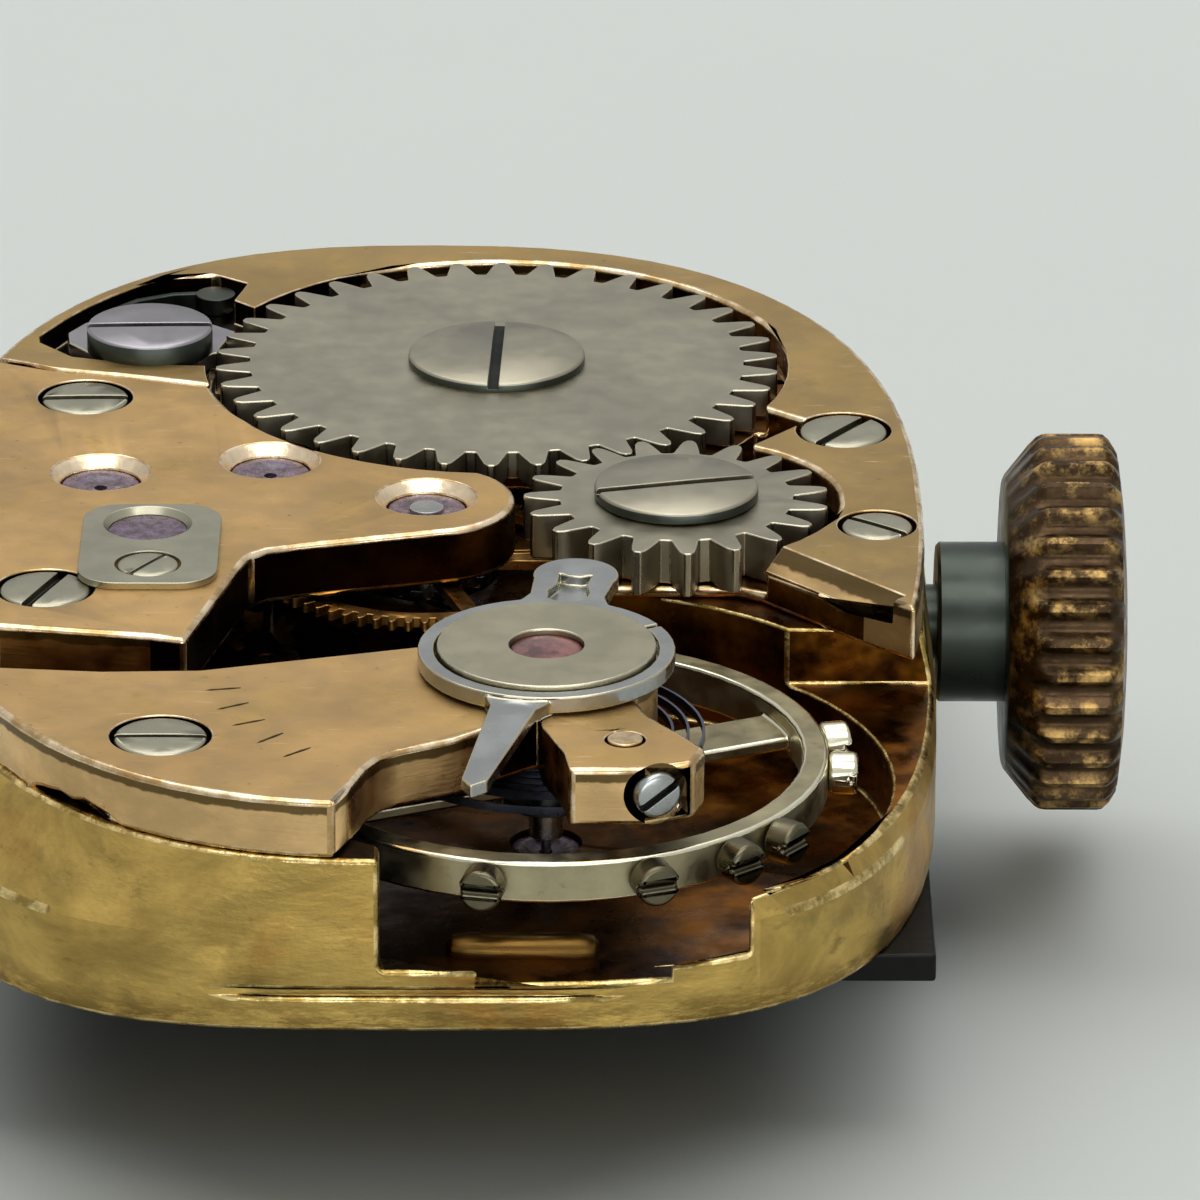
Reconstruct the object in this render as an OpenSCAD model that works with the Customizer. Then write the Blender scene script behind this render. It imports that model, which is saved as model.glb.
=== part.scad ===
// Small hand-wound watch movement with its dial, seen from the bridge side.
// The origin is on the axis of the hands, in the plane where the main plate meets the dial.
// X points along the winding stem towards the crown, Y along the movement, and Z up through the bridges.

/* [Movement] */
// Width of the main plate across the stem
plate_w = 12.1; // [11.9:0.1:12.4]
// Length of the main plate
plate_l = 17.8; // [17.6:0.1:18.2]
// Width of the bridges across the stem
bridge_w = 11.84; // [11.7:0.02:11.9]
// Squareness of the main plate's outline, where 2 is an ellipse
plate_squareness = 3.5; // [3.2:0.1:4]
// Squareness of the bridges' outline
bridge_squareness = 2.5; // [2.4:0.1:2.7]
// Offset of the outline's centre from the axis of the hands, along the movement
outline_shift = -0.25; // [-0.3:0.05:-0.2]
// Height of the main plate up to the bridges
plate_h = 2.1; // [2.1:0.05:2.3]
// Height at which the plate's wall starts to lean in to the bridges
flare_h = 1.15; // [1:0.05:1.2]
// Depth of the groove along the front of the plate
groove_depth = 0.1; // [0.06:0.01:0.12]
// Height of the low wall beside the balance
wall_h = 1.4; // [1.3:0.05:1.5]
// Sill of the window in front of the balance
sill_h = 0.75; // [0.7:0.05:0.9]
// Floor of the main plate under the train
floor_h = 0.74; // [0.74:0.02:0.8]

/* [Bridges] */
// Thickness of the bridges and the balance cock
bridge_t = 0.7; // [0.65:0.05:0.8]
// Radius of the heads of the large bridge screws
screw_head_r = 0.53; // [0.48:0.01:0.56]
// Radius of the head of the small bridge screw beside the stem
small_head_r = 0.42; // [0.38:0.01:0.44]
// Radius of the shanks of the bridge screws
screw_shank_r = 0.26; // [0.2:0.02:0.3]
// Height of the heads of the bridge screws
screw_head_t = 0.24; // [0.2:0.02:0.3]
// Length of the bridge screws
screw_l = 1.6; // [1.3:0.1:1.7]
// Width of the slots of the large screws
slot_w = 0.13; // [0.1:0.01:0.18]
// Width of the slots of the small screws
small_slot_w = 0.09; // [0.06:0.01:0.11]
// Radius of the jewels in the plate
jewel_r = 0.42; // [0.36:0.02:0.44]
// Radius of the jewels in the bridges
bridge_jewel_r = 0.48; // [0.46:0.01:0.5]
// Thickness of the jewels in the bridges
jewel_t = 0.2; // [0.16:0.02:0.22]
// Outer radius of the polished sink above a bridge jewel
sink_r = 0.6; // [0.56:0.01:0.62]
// Depth of the polished sink above a bridge jewel
sink_depth = 0.15; // [0.1:0.01:0.18]
// Thickness of the escape wheel's cap plate
cap_t = 0.09; // [0.06:0.01:0.12]

/* [Winding work] */
// Teeth of the ratchet wheel
ratchet_teeth = 38; // [38]
// Teeth of the crown wheel
crown_wheel_teeth = 19; // [19]
// Distance between the ratchet wheel and the crown wheel
winding_distance = 4.96; // [4.9:0.01:5]
// Thickness of the ratchet wheel
ratchet_t = 0.35; // [0.3:0.01:0.36]
// Height of the ratchet wheel above the bridges
ratchet_proud = 0.03; // [0:0.01:0.06]
// Radius of the head of the ratchet screw
ratchet_screw_r = 1.09; // [1:0.01:1.2]
// Radius of the head of the crown wheel screw
crown_wheel_screw_r = 0.98; // [0.9:0.01:1.05]
// Radius of the head of the click screw
click_screw_r = 0.78; // [0.7:0.02:0.8]
// Height of the head of the click screw above the bridges
click_screw_t = 0.26; // [0.2:0.01:0.3]
// Thickness of the click
click_t = 0.22; // [0.18:0.01:0.24]

/* [Going train] */
// Teeth on the barrel
barrel_teeth = 72; // [72]
// Height of the closed barrel
barrel_h = 0.96; // [0.9:0.02:0.96]
// Radius of the barrel's wall
barrel_wall_r = 3.68; // [3.6:0.02:3.7]
// Thickness of the barrel's wall
barrel_wall_t = 0.22; // [0.18:0.01:0.25]
// Turns of the mainspring
mainspring_turns = 9; // [6:1:10]
// Thickness of the mainspring's band
mainspring_t = 0.08; // [0.06:0.01:0.09]
// Thickness of the centre, third and fourth wheels
wheel_t = 0.13; // [0.1:0.01:0.14]
// Thickness of the escape wheel
escape_t = 0.12; // [0.1:0.01:0.14]
// Radius of the escape wheel at its tooth tips
escape_r = 1.65; // [1.6:0.01:1.68]
// Radius of the train's arbors
arbor_r = 0.1; // [0.08:0.01:0.12]
// Radius of the train's pivots
pivot_r = 0.06; // [0.05:0.005:0.07]
// Radius of the centre wheel's arbor
centre_arbor_r = 0.2; // [0.18:0.01:0.2]

/* [Balance] */
// Outer radius of the balance rim
rim_r = 3.25; // [3.2:0.01:3.3]
// Radial thickness of the balance rim
rim_t = 0.3; // [0.25:0.01:0.34]
// Height of the balance rim
rim_h = 0.5; // [0.44:0.01:0.54]
// Height of the top of the balance rim
rim_top = 1.78; // [1.74:0.01:1.8]
// Width of the balance's arms
arm_w = 0.75; // [0.5:0.05:0.8]
// Radius of the balance screws' heads
rim_screw_r = 0.25; // [0.2:0.01:0.27]
// Length of the balance screws' heads
rim_screw_l = 0.34; // [0.25:0.01:0.36]
// Turns of the hairspring
hairspring_turns = 3.5; // [3.5]
// Half the thickness of the hairspring
hairspring_t = 0.035; // [0.03:0.005:0.04]
// Half the height of the hairspring
hairspring_h = 0.06; // [0.05:0.005:0.06]

/* [Regulator] */
// Outer radius of the regulator ring
regulator_r = 1.48; // [1.4:0.01:1.5]
// Thickness of the regulator
regulator_t = 0.2; // [0.16:0.01:0.22]
// Radius of the end piece inside the regulator
end_piece_r = 1.26; // [1.2:0.01:1.3]
// Height of the end piece above the regulator
end_piece_proud = 0.05; // [0.02:0.01:0.08]
// Radius of the ruby in the end piece
end_stone_r = 0.42; // [0.38:0.01:0.46]
// Radius of the head of the stud screw
stud_screw_r = 0.27; // [0.22:0.01:0.28]

/* [Keyless work] */
// Height of the winding stem's axis
stem_z = 1.2; // [1.2:0.01:1.22]
// Radius of the stem where it leaves the plate
stem_r = 0.45; // [0.4:0.01:0.5]
// Side of the stem's square
stem_square = 0.5; // [0.46:0.01:0.5]
// Travel of the stem when the crown is pulled
stem_travel = 0.5; // [0.4:0.05:0.5]
// Radius of the winding pinion at its tooth tips
winding_pinion_r = 1.15; // [1.12:0.01:1.16]
// Radius of the sliding pinion
clutch_r = 0.8; // [0.7:0.01:0.82]

/* [Motion work] */
// Radius of the hour wheel's pipe, where the hour hand sits
hour_pipe_r = 0.6; // [0.55:0.01:0.65]
// Length of the hour wheel's pipe below the plate
hour_pipe_l = 1.1; // [0.9:0.05:1.2]
// Radius of the cannon pinion's pipe, where the minute hand sits
minute_pipe_r = 0.33; // [0.28:0.01:0.34]
// Length of the cannon pinion's pipe below the plate
minute_pipe_l = 1.75; // [1.5:0.05:1.9]
// Growth of the pipes' radius above the seats of the hands
pipe_taper = 0.03; // [0.02:0.005:0.04]
// Radius of the centre arbor inside the cannon pinion
cannon_arbor_r = 0.17; // [0.14:0.01:0.18]

/* [Dial] */
// Width of the dial across the stem
dial_w = 11.8; // [11.4:0.1:12]
// Length of the dial
dial_l = 14; // [13.4:0.1:14.6]
// Thickness of the dial
dial_t = 0.35; // [0.3:0.01:0.45]
// Radius of the hole in the middle of the dial
dial_hole_r = 0.9; // [0.8:0.05:1.1]

/* [Crown] */
// Outer radius of the crown
crown_r = 2.26; // [2.1:0.01:2.4]
// Thickness of the crown
crown_t = 1.47; // [1.3:0.01:1.6]
// Distance of the crown's inner face from the hands' axis
crown_x = 6.91; // [6.8:0.01:7.1]
// Length of the bevel on the crown's inner side
crown_bevel = 0.41; // [0.3:0.01:0.5]
// Radius of the crown's hub
crown_hub_r = 0.96; // [0.8:0.01:1]
// Length of the crown's hub
crown_hub_l = 0.8; // [0.6:0.02:0.82]
// Ribs around the crown
crown_ribs = 34; // [26:2:40]
// Depth of the grooves between the ribs
crown_rib_depth = 0.12; // [0.08:0.01:0.16]

/* [Clearances] */
// Radial clearance of a shaft that turns in its bore
run_gap = 0.03; // [0.02:0.005:0.04]
// Radial clearance of a pivot in its jewel
pivot_gap = 0.02; // [0.01:0.005:0.02]
// Clearance between a wheel and the recess that it turns in
recess_gap = 0.12; // [0.1:0.01:0.14]
// Clearance between pieces that lie over each other
stack_gap = 0.04; // [0.03:0.005:0.05]

/* [Hidden] */
$fn = 48;

// Colours, as the real metals look
gilt = [0.78, 0.62, 0.42];
plate_brass = [0.68, 0.58, 0.33];
steel = [0.62, 0.62, 0.6];
dark_steel = [0.32, 0.34, 0.33];
train_brass = [0.75, 0.6, 0.3];
ruby = [0.55, 0.08, 0.2];
bronze = [0.35, 0.26, 0.16];
dial_black = [0.06, 0.06, 0.06];

// Plan positions, measured from the axis of the hands
barrel_at = [0.81, 4.42];
winding_dir = -64;
crown_wheel_at = barrel_at + winding_distance * [cos(winding_dir), sin(winding_dir)];
third_at = [-1.9, 1.17];
fourth_at = [-3.93, 0.76];
escape_at = [-3.29, -1.08];
balance_at = [1.44, -5.22];
click_at = [-3.5, 5.06];
click_spring_at = [-2.75, 7.1];
stud_at = [2.33, -7.32];
stud_screw_at = [2.64, -8.02];
lobe_at = [1.78, -3.0];
pointer_to = [0.55, -9.0];
barrel_screws_at = [[5.04, 2.21], [5.36, -0.86]];
barrel_heads = [screw_head_r, small_head_r];
train_screws_at = [[-4.42, -2.89], [-4.22, 3.24]];
cock_screw_at = [-2.91, -7.24];
cap_screw_at = [-3.24, -2.35];
cap_from = [-4.06, -2.95];
cap_to = [-2.42, -0.48];
pallet_screw_at = [-3.3, -3.75];
minute_at = [0.7, -2.085];
setting_at = [1.97, 0];
yoke_at = [2.2, 2.3];
setting_lever_at = [4.9, 1.75];
setting_screw_at = [3.4, 3.1];
dial_feet_at = [[-5.0, 3.9], [4.95, -2.45]];

// Directions of the screws' slots
barrel_slots = [55, -38];
train_slots = [68, 2];
cock_slot = 0;
cap_slot = 57;
pallet_slot = 20;
ratchet_slot = 88;
crown_wheel_slot = 14;
click_slot = 2;

function bearing(a, b) = atan2(b[1] - a[1], b[0] - a[0]);
function polar(r, a) = [r * cos(a), r * sin(a)];
function lerp(a, b, t) = a + (b - a) * t;

// Heights
groove_z = 0.42;
groove_h = 0.09;
click_drop = 0.08;
under_gap = 0.02;
top_z = plate_h + bridge_t;
ratchet_top = top_z + ratchet_proud;
ratchet_z = ratchet_top - ratchet_t;
crown_wheel_z = stem_z + winding_pinion_r - 0.08;
crown_seat_z = crown_wheel_z - stack_gap / 2;
barrel_z = 0.8;
barrel_top = barrel_z + barrel_h;
centre_wheel_z = plate_h - stack_gap * 2 - wheel_t;
third_wheel_z = 0.56;
fourth_wheel_z = 1.3;
escape_z = 0.95;
fork_z = 0.92;
fork_t = 0.16;
spring_z = 1.96;
roller_z = fork_z + fork_t + stack_gap;
regulator_z = top_z + stack_gap;
pointer_drop = 3.5;
click_z = top_z - click_drop - click_t;
click_floor = click_z - under_gap;
stud_screw_z = top_z - stud_screw_r - 0.05;
screw_bottom = top_z - screw_l;
rim_bottom = rim_top - rim_h;
balance_floor = 0.6;

// Gears: each module follows from a distance and two tooth counts
centre_leaves = 12;
centre_teeth = 64;
third_leaves = 8;
third_teeth = 60;
fourth_leaves = 8;
fourth_teeth = 70;
escape_leaves = 7;
escape_teeth = 15;
cannon_teeth = 10;
minute_teeth = 30;
minute_leaves = 8;
hour_teeth = 32;
setting_teeth = 14;
winding_teeth = 13;
winding_root = 0.85;
winding_m = 2 * winding_distance / (ratchet_teeth + crown_wheel_teeth);
barrel_m = 2 * norm(barrel_at) / (barrel_teeth + centre_leaves);
centre_m = 2 * norm(third_at) / (centre_teeth + third_leaves);
third_m = 2 * norm(fourth_at - third_at) / (third_teeth + fourth_leaves);
fourth_m = 2 * norm(escape_at - fourth_at) / (fourth_teeth + escape_leaves);
cannon_m = 2 * norm(minute_at) / (cannon_teeth + minute_teeth);
hour_m = 2 * norm(minute_at) / (minute_leaves + hour_teeth);
function pitch_r(teeth, m) = teeth * m / 2;
ratchet_tip = pitch_r(ratchet_teeth, winding_m) + winding_m;
crown_wheel_tip = pitch_r(crown_wheel_teeth, winding_m) + winding_m;
barrel_tip = pitch_r(barrel_teeth, barrel_m) + barrel_m;
centre_tip = pitch_r(centre_teeth, centre_m) + centre_m;
third_tip = pitch_r(third_teeth, third_m) + third_m;
fourth_tip = pitch_r(fourth_teeth, fourth_m) + fourth_m;

// A driven wheel's tooth angle, so that its teeth stand in the gaps of the wheel that drives it
function mesh_phase(line, phase, teeth, driven) =
    line + 180 - 180 / driven + (line - phase) * teeth / driven;
centre_line = bearing(barrel_at, [0, 0]);
third_line = bearing([0, 0], third_at);
fourth_line = bearing(third_at, fourth_at);
escape_line = bearing(fourth_at, escape_at);
minute_line = bearing([0, 0], minute_at);
setting_line = bearing(minute_at, setting_at);
winding_phase = mesh_phase(winding_dir, 4, ratchet_teeth, crown_wheel_teeth);
crown_wheel_step = 360 / crown_wheel_teeth;
crown_wheel_lead = winding_phase - round(winding_phase / crown_wheel_step) * crown_wheel_step;
winding_pinion_phase = -(crown_wheel_lead + crown_wheel_step / 2) * crown_wheel_teeth / winding_teeth;
centre_leaf_phase = mesh_phase(centre_line, 0, barrel_teeth, centre_leaves);
third_leaf_phase = mesh_phase(third_line, 0, centre_teeth, third_leaves);
fourth_leaf_phase = mesh_phase(fourth_line, 0, third_teeth, fourth_leaves);
escape_leaf_phase = mesh_phase(escape_line, 0, fourth_teeth, escape_leaves);
minute_phase = mesh_phase(minute_line, 0, cannon_teeth, minute_teeth);
hour_phase = mesh_phase(minute_line + 180, 0, minute_leaves, hour_teeth);
setting_phase = mesh_phase(setting_line, minute_phase, minute_teeth, setting_teeth);

// Escapement
escape_to_balance = bearing(escape_at, balance_at);
pallet_reach = escape_r / cos(30);
cap_screw_r = 0.36;
pallet_at = escape_at + polar(pallet_reach, escape_to_balance);
fork_l = norm(balance_at - pallet_at) - 0.53;
impulse_r = 0.4;

// Outlines
function superellipse(a, b, n, steps) =
    [for (i = [0:steps - 1]) let (t = 360 * i / steps, c = cos(t), s = sin(t))
        [a * sign(c) * pow(abs(c), 2 / n), b * sign(s) * pow(abs(s), 2 / n)]];

module at(p, z = 0) {
    translate([p[0], p[1], z]) children();
}

module plate_outline() {
    translate([0, outline_shift])
        polygon(superellipse(plate_w / 2, plate_l / 2, plate_squareness, 80));
}

module bridge_outline() {
    translate([0, outline_shift])
        polygon(superellipse(bridge_w / 2, plate_l / 2, bridge_squareness, 80));
}

// The bridges' outline drawn in by the width of a rim
module inner_outline(rim) {
    translate([0, outline_shift])
        polygon(superellipse(bridge_w / 2 - rim, plate_l / 2 - rim, bridge_squareness, 80));
}

module slab(z0, z1) {
    translate([0, 0, z0]) linear_extrude(z1 - z0) children();
}

module post(p, r, z0, z1) {
    translate([p[0], p[1], z0]) cylinder(r = r, h = z1 - z0);
}

module tube(p, r, bore, z0, z1) {
    difference() {
        post(p, r, z0, z1);
        post(p, bore, z0 - 1, z1 + 1);
    }
}

// A gear's outline: root, flank and tip points for each tooth
module gear_outline(teeth, m, addendum, dedendum, thickness, phase, root = 0.62) {
    pitch = 360 / teeth;
    r = pitch_r(teeth, m);
    profile = [[r - dedendum * m, root], [r, 0.5], [r + 0.6 * addendum * m, 0.36],
               [r + addendum * m, 0.16]];
    polygon([for (i = [0:teeth - 1])
        for (p = [for (k = [0:3]) [profile[k][0], -profile[k][1]],
                  for (k = [3:-1:0]) [profile[k][0], profile[k][1]]])
            polar(p[0], phase + pitch * (i + p[1] * thickness))]);
}

// A crossed-out wheel: toothed rim, hub and spokes
module spoked_wheel(teeth, m, t, rim, hub, bore, spokes, phase) {
    r = pitch_r(teeth, m);
    inner = r - 1.3 * m - rim;
    linear_extrude(t) difference() {
        gear_outline(teeth, m, 1, 1.3, 0.46, phase);
        difference() {
            circle(r = inner);
            circle(r = hub);
            for (i = [0:spokes - 1])
                rotate(360 * i / spokes) translate([0, -0.11]) square([inner + 0.1, 0.22]);
        }
        circle(r = bore);
    }
}

// A pinion's leaves
module leaves(teeth, m, t, phase) {
    linear_extrude(t) gear_outline(teeth, m, 0.8, 1.2, 0.38, phase);
}

// A screw with a slot across its head
module slotted_screw(p, head_r, head_t, shank_r, top, bottom, slot_dir, slot) {
    difference() {
        union() {
            post(p, head_r, top - head_t, top);
            post(p, shank_r, bottom, top - head_t + 0.01);
        }
        at(p, top - head_t * 0.45)
            rotate(slot_dir) translate([-head_r - 0.1, -slot / 2, 0])
                cube([2 * head_r + 0.2, slot, head_t]);
    }
}

// Holes for a bridge screw: the counterbore and the clearance hole
module screw_sink(p, head_r, top, bottom) {
    post(p, head_r + 0.05, top - screw_head_t - 0.02, top + 0.1);
    post(p, screw_shank_r + run_gap, bottom, top);
}

// The hole and the polished sink of a jewel
module jewel_sink(p) {
    post(p, bridge_jewel_r, plate_h - 0.1, top_z + 0.1);
    at(p, top_z - sink_depth) cylinder(r1 = bridge_jewel_r, r2 = sink_r, h = sink_depth + 0.001);
}

module jewel(p, r, z, t, hole) {
    difference() {
        post(p, r, z, z + t);
        post(p, hole, z - 0.1, z + t + 0.1);
    }
}

// The bridges' plan shapes
joint_pts = [[-7, 4.75], [-5.33, 4.49], [-4.57, 4.15], [-3.83, 3.99], [-2.6, 3.62]];

module ratchet_circle(gap) {
    translate(barrel_at) circle(r = ratchet_tip + gap);
}

module train_bridge_plan() {
    difference() {
        intersection() {
            bridge_outline();
            union() {
                polygon(concat([for (p = joint_pts) p - [0, 0.02]],
                    [[-1.6, 3.2], [0.6, 1.4], [0.2, -1.08], [-1.47, -1.54], [-1.85, -1.68], [-2.06, -1.86],
                     [-2.16, -2.2], [-2.73, -4.45], [-3.14, -4.31], [-4.89, -4.02], [-7, -3.75]]));
                translate([0, -0.04]) circle(r = 1.06);
            }
        }
        ratchet_circle(recess_gap);
    }
}

module barrel_bridge_plan() {
    difference() {
        intersection() {
            bridge_outline();
            union() {
                polygon(concat([for (p = joint_pts) p + [0, 0.02]],
                    [[-1.5, 3.4], [4.0, 3.4], [4.0, 9.5], [-7, 9.5]]));
                polygon([[3, 9.5], [7, 9.5], [7, -3.5], [5.78, -3.5], [5.48, -3.22], [5.15, -2.92],
                         [3.98, -1.66], [3.7, -1.5], [2.2, -1.5], [2.2, 5]]);
            }
        }
        translate(crown_wheel_at) rotate(140) translate([0.4, -3]) square([3, 6]);
    }
}

module cock_plan() {
    intersection() {
        bridge_outline();
        union() {
            polygon([[-7, -4.9], [-4.82, -5.23], [-3.67, -5.34], [-2.53, -5.3], [-1.39, -4.97],
                     [-0.07, -4.6], [1.2, -4.2], [1.5, -6.4], [0.92, -6.9], [0.4, -7.34], [-0.2, -7.66],
                     [-0.42, -7.84], [-0.58, -8.14], [-0.72, -8.6], [-0.9, -9.05], [-1.1, -9.6],
                     [-7, -9.6]]);
            translate(balance_at) circle(r = 1.28);
            stud_block_plan();
        }
    }
}

module stud_block_plan() {
    polygon([[1.2, -5.4], [2.4, -5.9], [2.6, -6.6], [2.95, -7.1], [3.24, -7.55], [3.1, -7.95],
             [2.55, -8.17], [1.7, -8.17], [1.64, -7.7], [1.4, -7.0]]);
}

// Recess for the click and its spring in the barrel bridge, inside a narrow rim
module click_recess_plan() {
    intersection() {
        inner_outline(0.2);
        polygon([[-2.3, 4.3], [-3.6, 4.36], [-4.45, 4.62], [-4.86, 5.1], [-4.92, 5.6], [-4.66, 6.25],
                 [-4.27, 6.75], [-3.5, 7.4], [-2.75, 7.5], [-2.35, 7.2], [-2.5, 6.6], [-1.9, 6.0]]);
    }
}

// Main plate

module main_plate() {
    color(plate_brass) difference() {
        union() {
            slab(0, flare_h) plate_outline();
            hull() {
                slab(flare_h - 0.01, flare_h) plate_outline();
                slab(plate_h - 0.01, plate_h) bridge_outline();
            }
        }
        translate([-plate_w / 2, outline_shift - plate_l / 2 - 1, groove_z])
            cube([plate_w, 1 + groove_depth, groove_h]);
        balance_space();
        train_space();
        keyless_space();
        dial_side_space();
        for (p = concat(barrel_screws_at, train_screws_at, [cock_screw_at]))
            post(p, screw_shank_r, screw_bottom - 0.1, plate_h + 0.1);
        post(pallet_screw_at, 0.2, wall_h - 0.6, wall_h + 0.1);
        for (p = dial_feet_at)
            post(p, 0.37, -0.1, 1.1);
    }
}

module balance_space() {
    post(balance_at, rim_r + rim_screw_l + 0.4, balance_floor, plate_h + 0.1);
    translate([-0.42, -11, wall_h]) cube([8, 8.6, 1]);
    translate([-0.42, -11, sill_h]) cube([4.15, 4.2, 2]);
    post(balance_at, jewel_r, 0.1, balance_floor + 0.1);
    post(pallet_at, 0.3, 0.4, 1);
    at(pallet_at, 0.8) rotate(escape_to_balance) translate([-0.75, -1.02, 0]) cube([3, 2.04, 2]);
    at(pallet_screw_at, wall_h) cylinder(r = 0.75, h = 1);
    at(pallet_screw_at, wall_h) rotate(bearing(pallet_screw_at, pallet_at))
        translate([0, -0.75, 0]) cube([2.4, 1.5, 1]);
}

module train_space() {
    post(barrel_at, barrel_tip + recess_gap, floor_h, plate_h + 0.1);
    translate([barrel_at[0] - 1.7, barrel_at[1], floor_h]) cube([3.4, 5, 1.2]);
    post(barrel_at, 0.38, 0.4, 1);
    post([0, 0], centre_tip + recess_gap, centre_wheel_z - 0.08, plate_h + 0.1);
    post([0, 0], 0.85, floor_h, plate_h + 0.1);
    post([0, 0], 0.28, -0.1, 1);
    post(third_at, third_tip + recess_gap, third_wheel_z - 0.08, plate_h + 0.1);
    post(third_at, jewel_r, 0.2, 1);
    post(fourth_at, fourth_tip + 0.08, floor_h, plate_h + 0.1);
    post(fourth_at, 0.5, third_wheel_z - 0.14, 1);
    post(fourth_at, jewel_r, 0.2, 1);
    post(escape_at, escape_r + recess_gap, floor_h, plate_h + 0.1);
    post(escape_at, jewel_r, 0.3, 1);
}

module keyless_space() {
    translate([2.62, -0.92, 0.33]) cube([1.75, 1.84, 2]);
    translate([4.36, -1.22, -0.1]) cube([0.7, 2.44, 2.5]);
    translate([4.9, 0, stem_z]) rotate([0, 90, 0]) cylinder(r = stem_r + run_gap, h = 3);
    translate([1.6, 0, stem_z]) rotate([0, 90, 0]) cylinder(r = 0.22 + run_gap, h = 1.5);
    translate([4.98, -0.3, -0.1]) cube([0.78, 0.7, stem_z - 0.3]);
}

module dial_side_space() {
    post([0, 0], pitch_r(hour_teeth, hour_m) + hour_m + recess_gap, -0.1, 0.32);
    post([0, 0], pitch_r(cannon_teeth, cannon_m) + cannon_m + 0.08, 0, 0.46);
    post(minute_at, pitch_r(minute_teeth, cannon_m) + cannon_m + recess_gap, -0.1, 0.32);
    post(setting_at, pitch_r(setting_teeth, cannon_m) + cannon_m + 0.08, -0.1, 0.48);
    slab(-0.1, 0.34) polygon([[1.7, 2.9], [1.7, 1.7], [3.2, -0.5], [4.4, -0.5], [4.4, 0.9], [3.9, 2.6],
                              [4.6, 3.4], [4.4, 3.9], [2.6, 3.9], [2.2, 2.9]]);
    slab(-0.1, 0.34)
        polygon([[4.3, 2.4], [4.3, 1.0], [5.02, -0.3], [5.74, -0.5], [5.74, 1.8], [5.2, 2.4]]);
    post(minute_at, 0.16, 0, 0.48);
    post(setting_at, 0.16, 0, 0.66);
    post(yoke_at, 0.16, 0, 0.6);
    post(setting_lever_at, 0.16, 0, 0.6);
    post(setting_screw_at, 0.16, 0, 0.62);
}

// Bridges and cock

module barrel_bridge() {
    color(gilt) difference() {
        union() {
            slab(plate_h, top_z) barrel_bridge_plan();
            slab(plate_h, ratchet_z - stack_gap) intersection() {
                ratchet_circle(0);
                translate([-7, 1.9]) square([12, 8]);
            }
            post(crown_wheel_at, 1.3, plate_h, crown_seat_z);
        }
        post(barrel_at, ratchet_tip + recess_gap, ratchet_z - stack_gap, top_z + 0.1);
        post(crown_wheel_at, crown_wheel_tip + recess_gap, crown_seat_z, top_z + 0.1);
        post(barrel_at, 0.55 + run_gap, plate_h - 0.1, top_z);
        post(crown_wheel_at, 0.3, plate_h - 0.1, top_z);
        translate([4.3, -0.8, plate_h - 0.1])
            cube([0.76, 1.6, stem_z + winding_pinion_r + 0.15 - plate_h]);
        slab(click_floor, top_z + 0.1) click_recess_plan();
        post(click_at, 0.3, plate_h - 0.1, top_z);
        for (i = [0, 1]) screw_sink(barrel_screws_at[i], barrel_heads[i], top_z, plate_h - 0.1);
    }
}

module train_bridge() {
    color(gilt) difference() {
        slab(plate_h, top_z) train_bridge_plan();
        for (p = [third_at, fourth_at, [0, 0]]) jewel_sink(p);
        post(escape_at, bridge_jewel_r, plate_h - 0.1, top_z + 0.1);
        post(cap_screw_at, 0.12, plate_h - 0.1, top_z + 0.1);
        for (p = train_screws_at) screw_sink(p, screw_head_r, top_z, plate_h - 0.1);
    }
}

module balance_cock() {
    color(gilt) difference() {
        slab(plate_h, top_z) cock_plan();
        post(balance_at, jewel_r, plate_h - 0.1, top_z + 0.1);
        post(stud_at, 0.23, plate_h - 0.1, top_z + 0.1);
        along_stud_screw() translate([0, 0, -0.6]) cylinder(r = stud_screw_r + run_gap, h = 0.88);
        along_stud_screw() cylinder(r = 0.14, h = stud_screw_reach + 0.1);
        screw_sink(cock_screw_at, screw_head_r, top_z, plate_h - 0.1);
    }
}

module barrel_bridge_screws() {
    color(steel) for (i = [0, 1])
        slotted_screw(barrel_screws_at[i], barrel_heads[i], screw_head_t, screw_shank_r, top_z,
                      screw_bottom, barrel_slots[i], i == 0 ? slot_w : small_slot_w);
}

module train_bridge_screws() {
    color(steel) for (i = [0, 1])
        slotted_screw(train_screws_at[i], screw_head_r, screw_head_t, screw_shank_r, top_z,
                      screw_bottom, train_slots[i], slot_w);
}

module cock_screw() {
    color(steel) slotted_screw(cock_screw_at, screw_head_r, screw_head_t, screw_shank_r, top_z,
                               screw_bottom, cock_slot, small_slot_w);
}

// Jewels

module train_jewels() {
    color(ruby) for (p = [third_at, fourth_at, [0, 0]])
        jewel(p, bridge_jewel_r, top_z - sink_depth - jewel_t, jewel_t,
              p == [0, 0] ? centre_arbor_r + run_gap : pivot_r + pivot_gap);
}

module plate_jewels() {
    color(ruby) {
        jewel(third_at, jewel_r, 0.2, third_wheel_z - 0.3, pivot_r + pivot_gap);
        jewel(fourth_at, jewel_r, 0.2, 0.18, pivot_r + pivot_gap);
        jewel(escape_at, jewel_r, 0.5, 0.2, pivot_r + pivot_gap);
        jewel(pallet_at, 0.3, 0.5, 0.2, pivot_r + pivot_gap);
        jewel(balance_at, jewel_r, 0.34, 0.2, pivot_r + pivot_gap);
        post(balance_at, jewel_r, 0.12, 0.28);
        jewel(balance_at, jewel_r, 2.36, 0.2, pivot_r + pivot_gap);
    }
}

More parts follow.
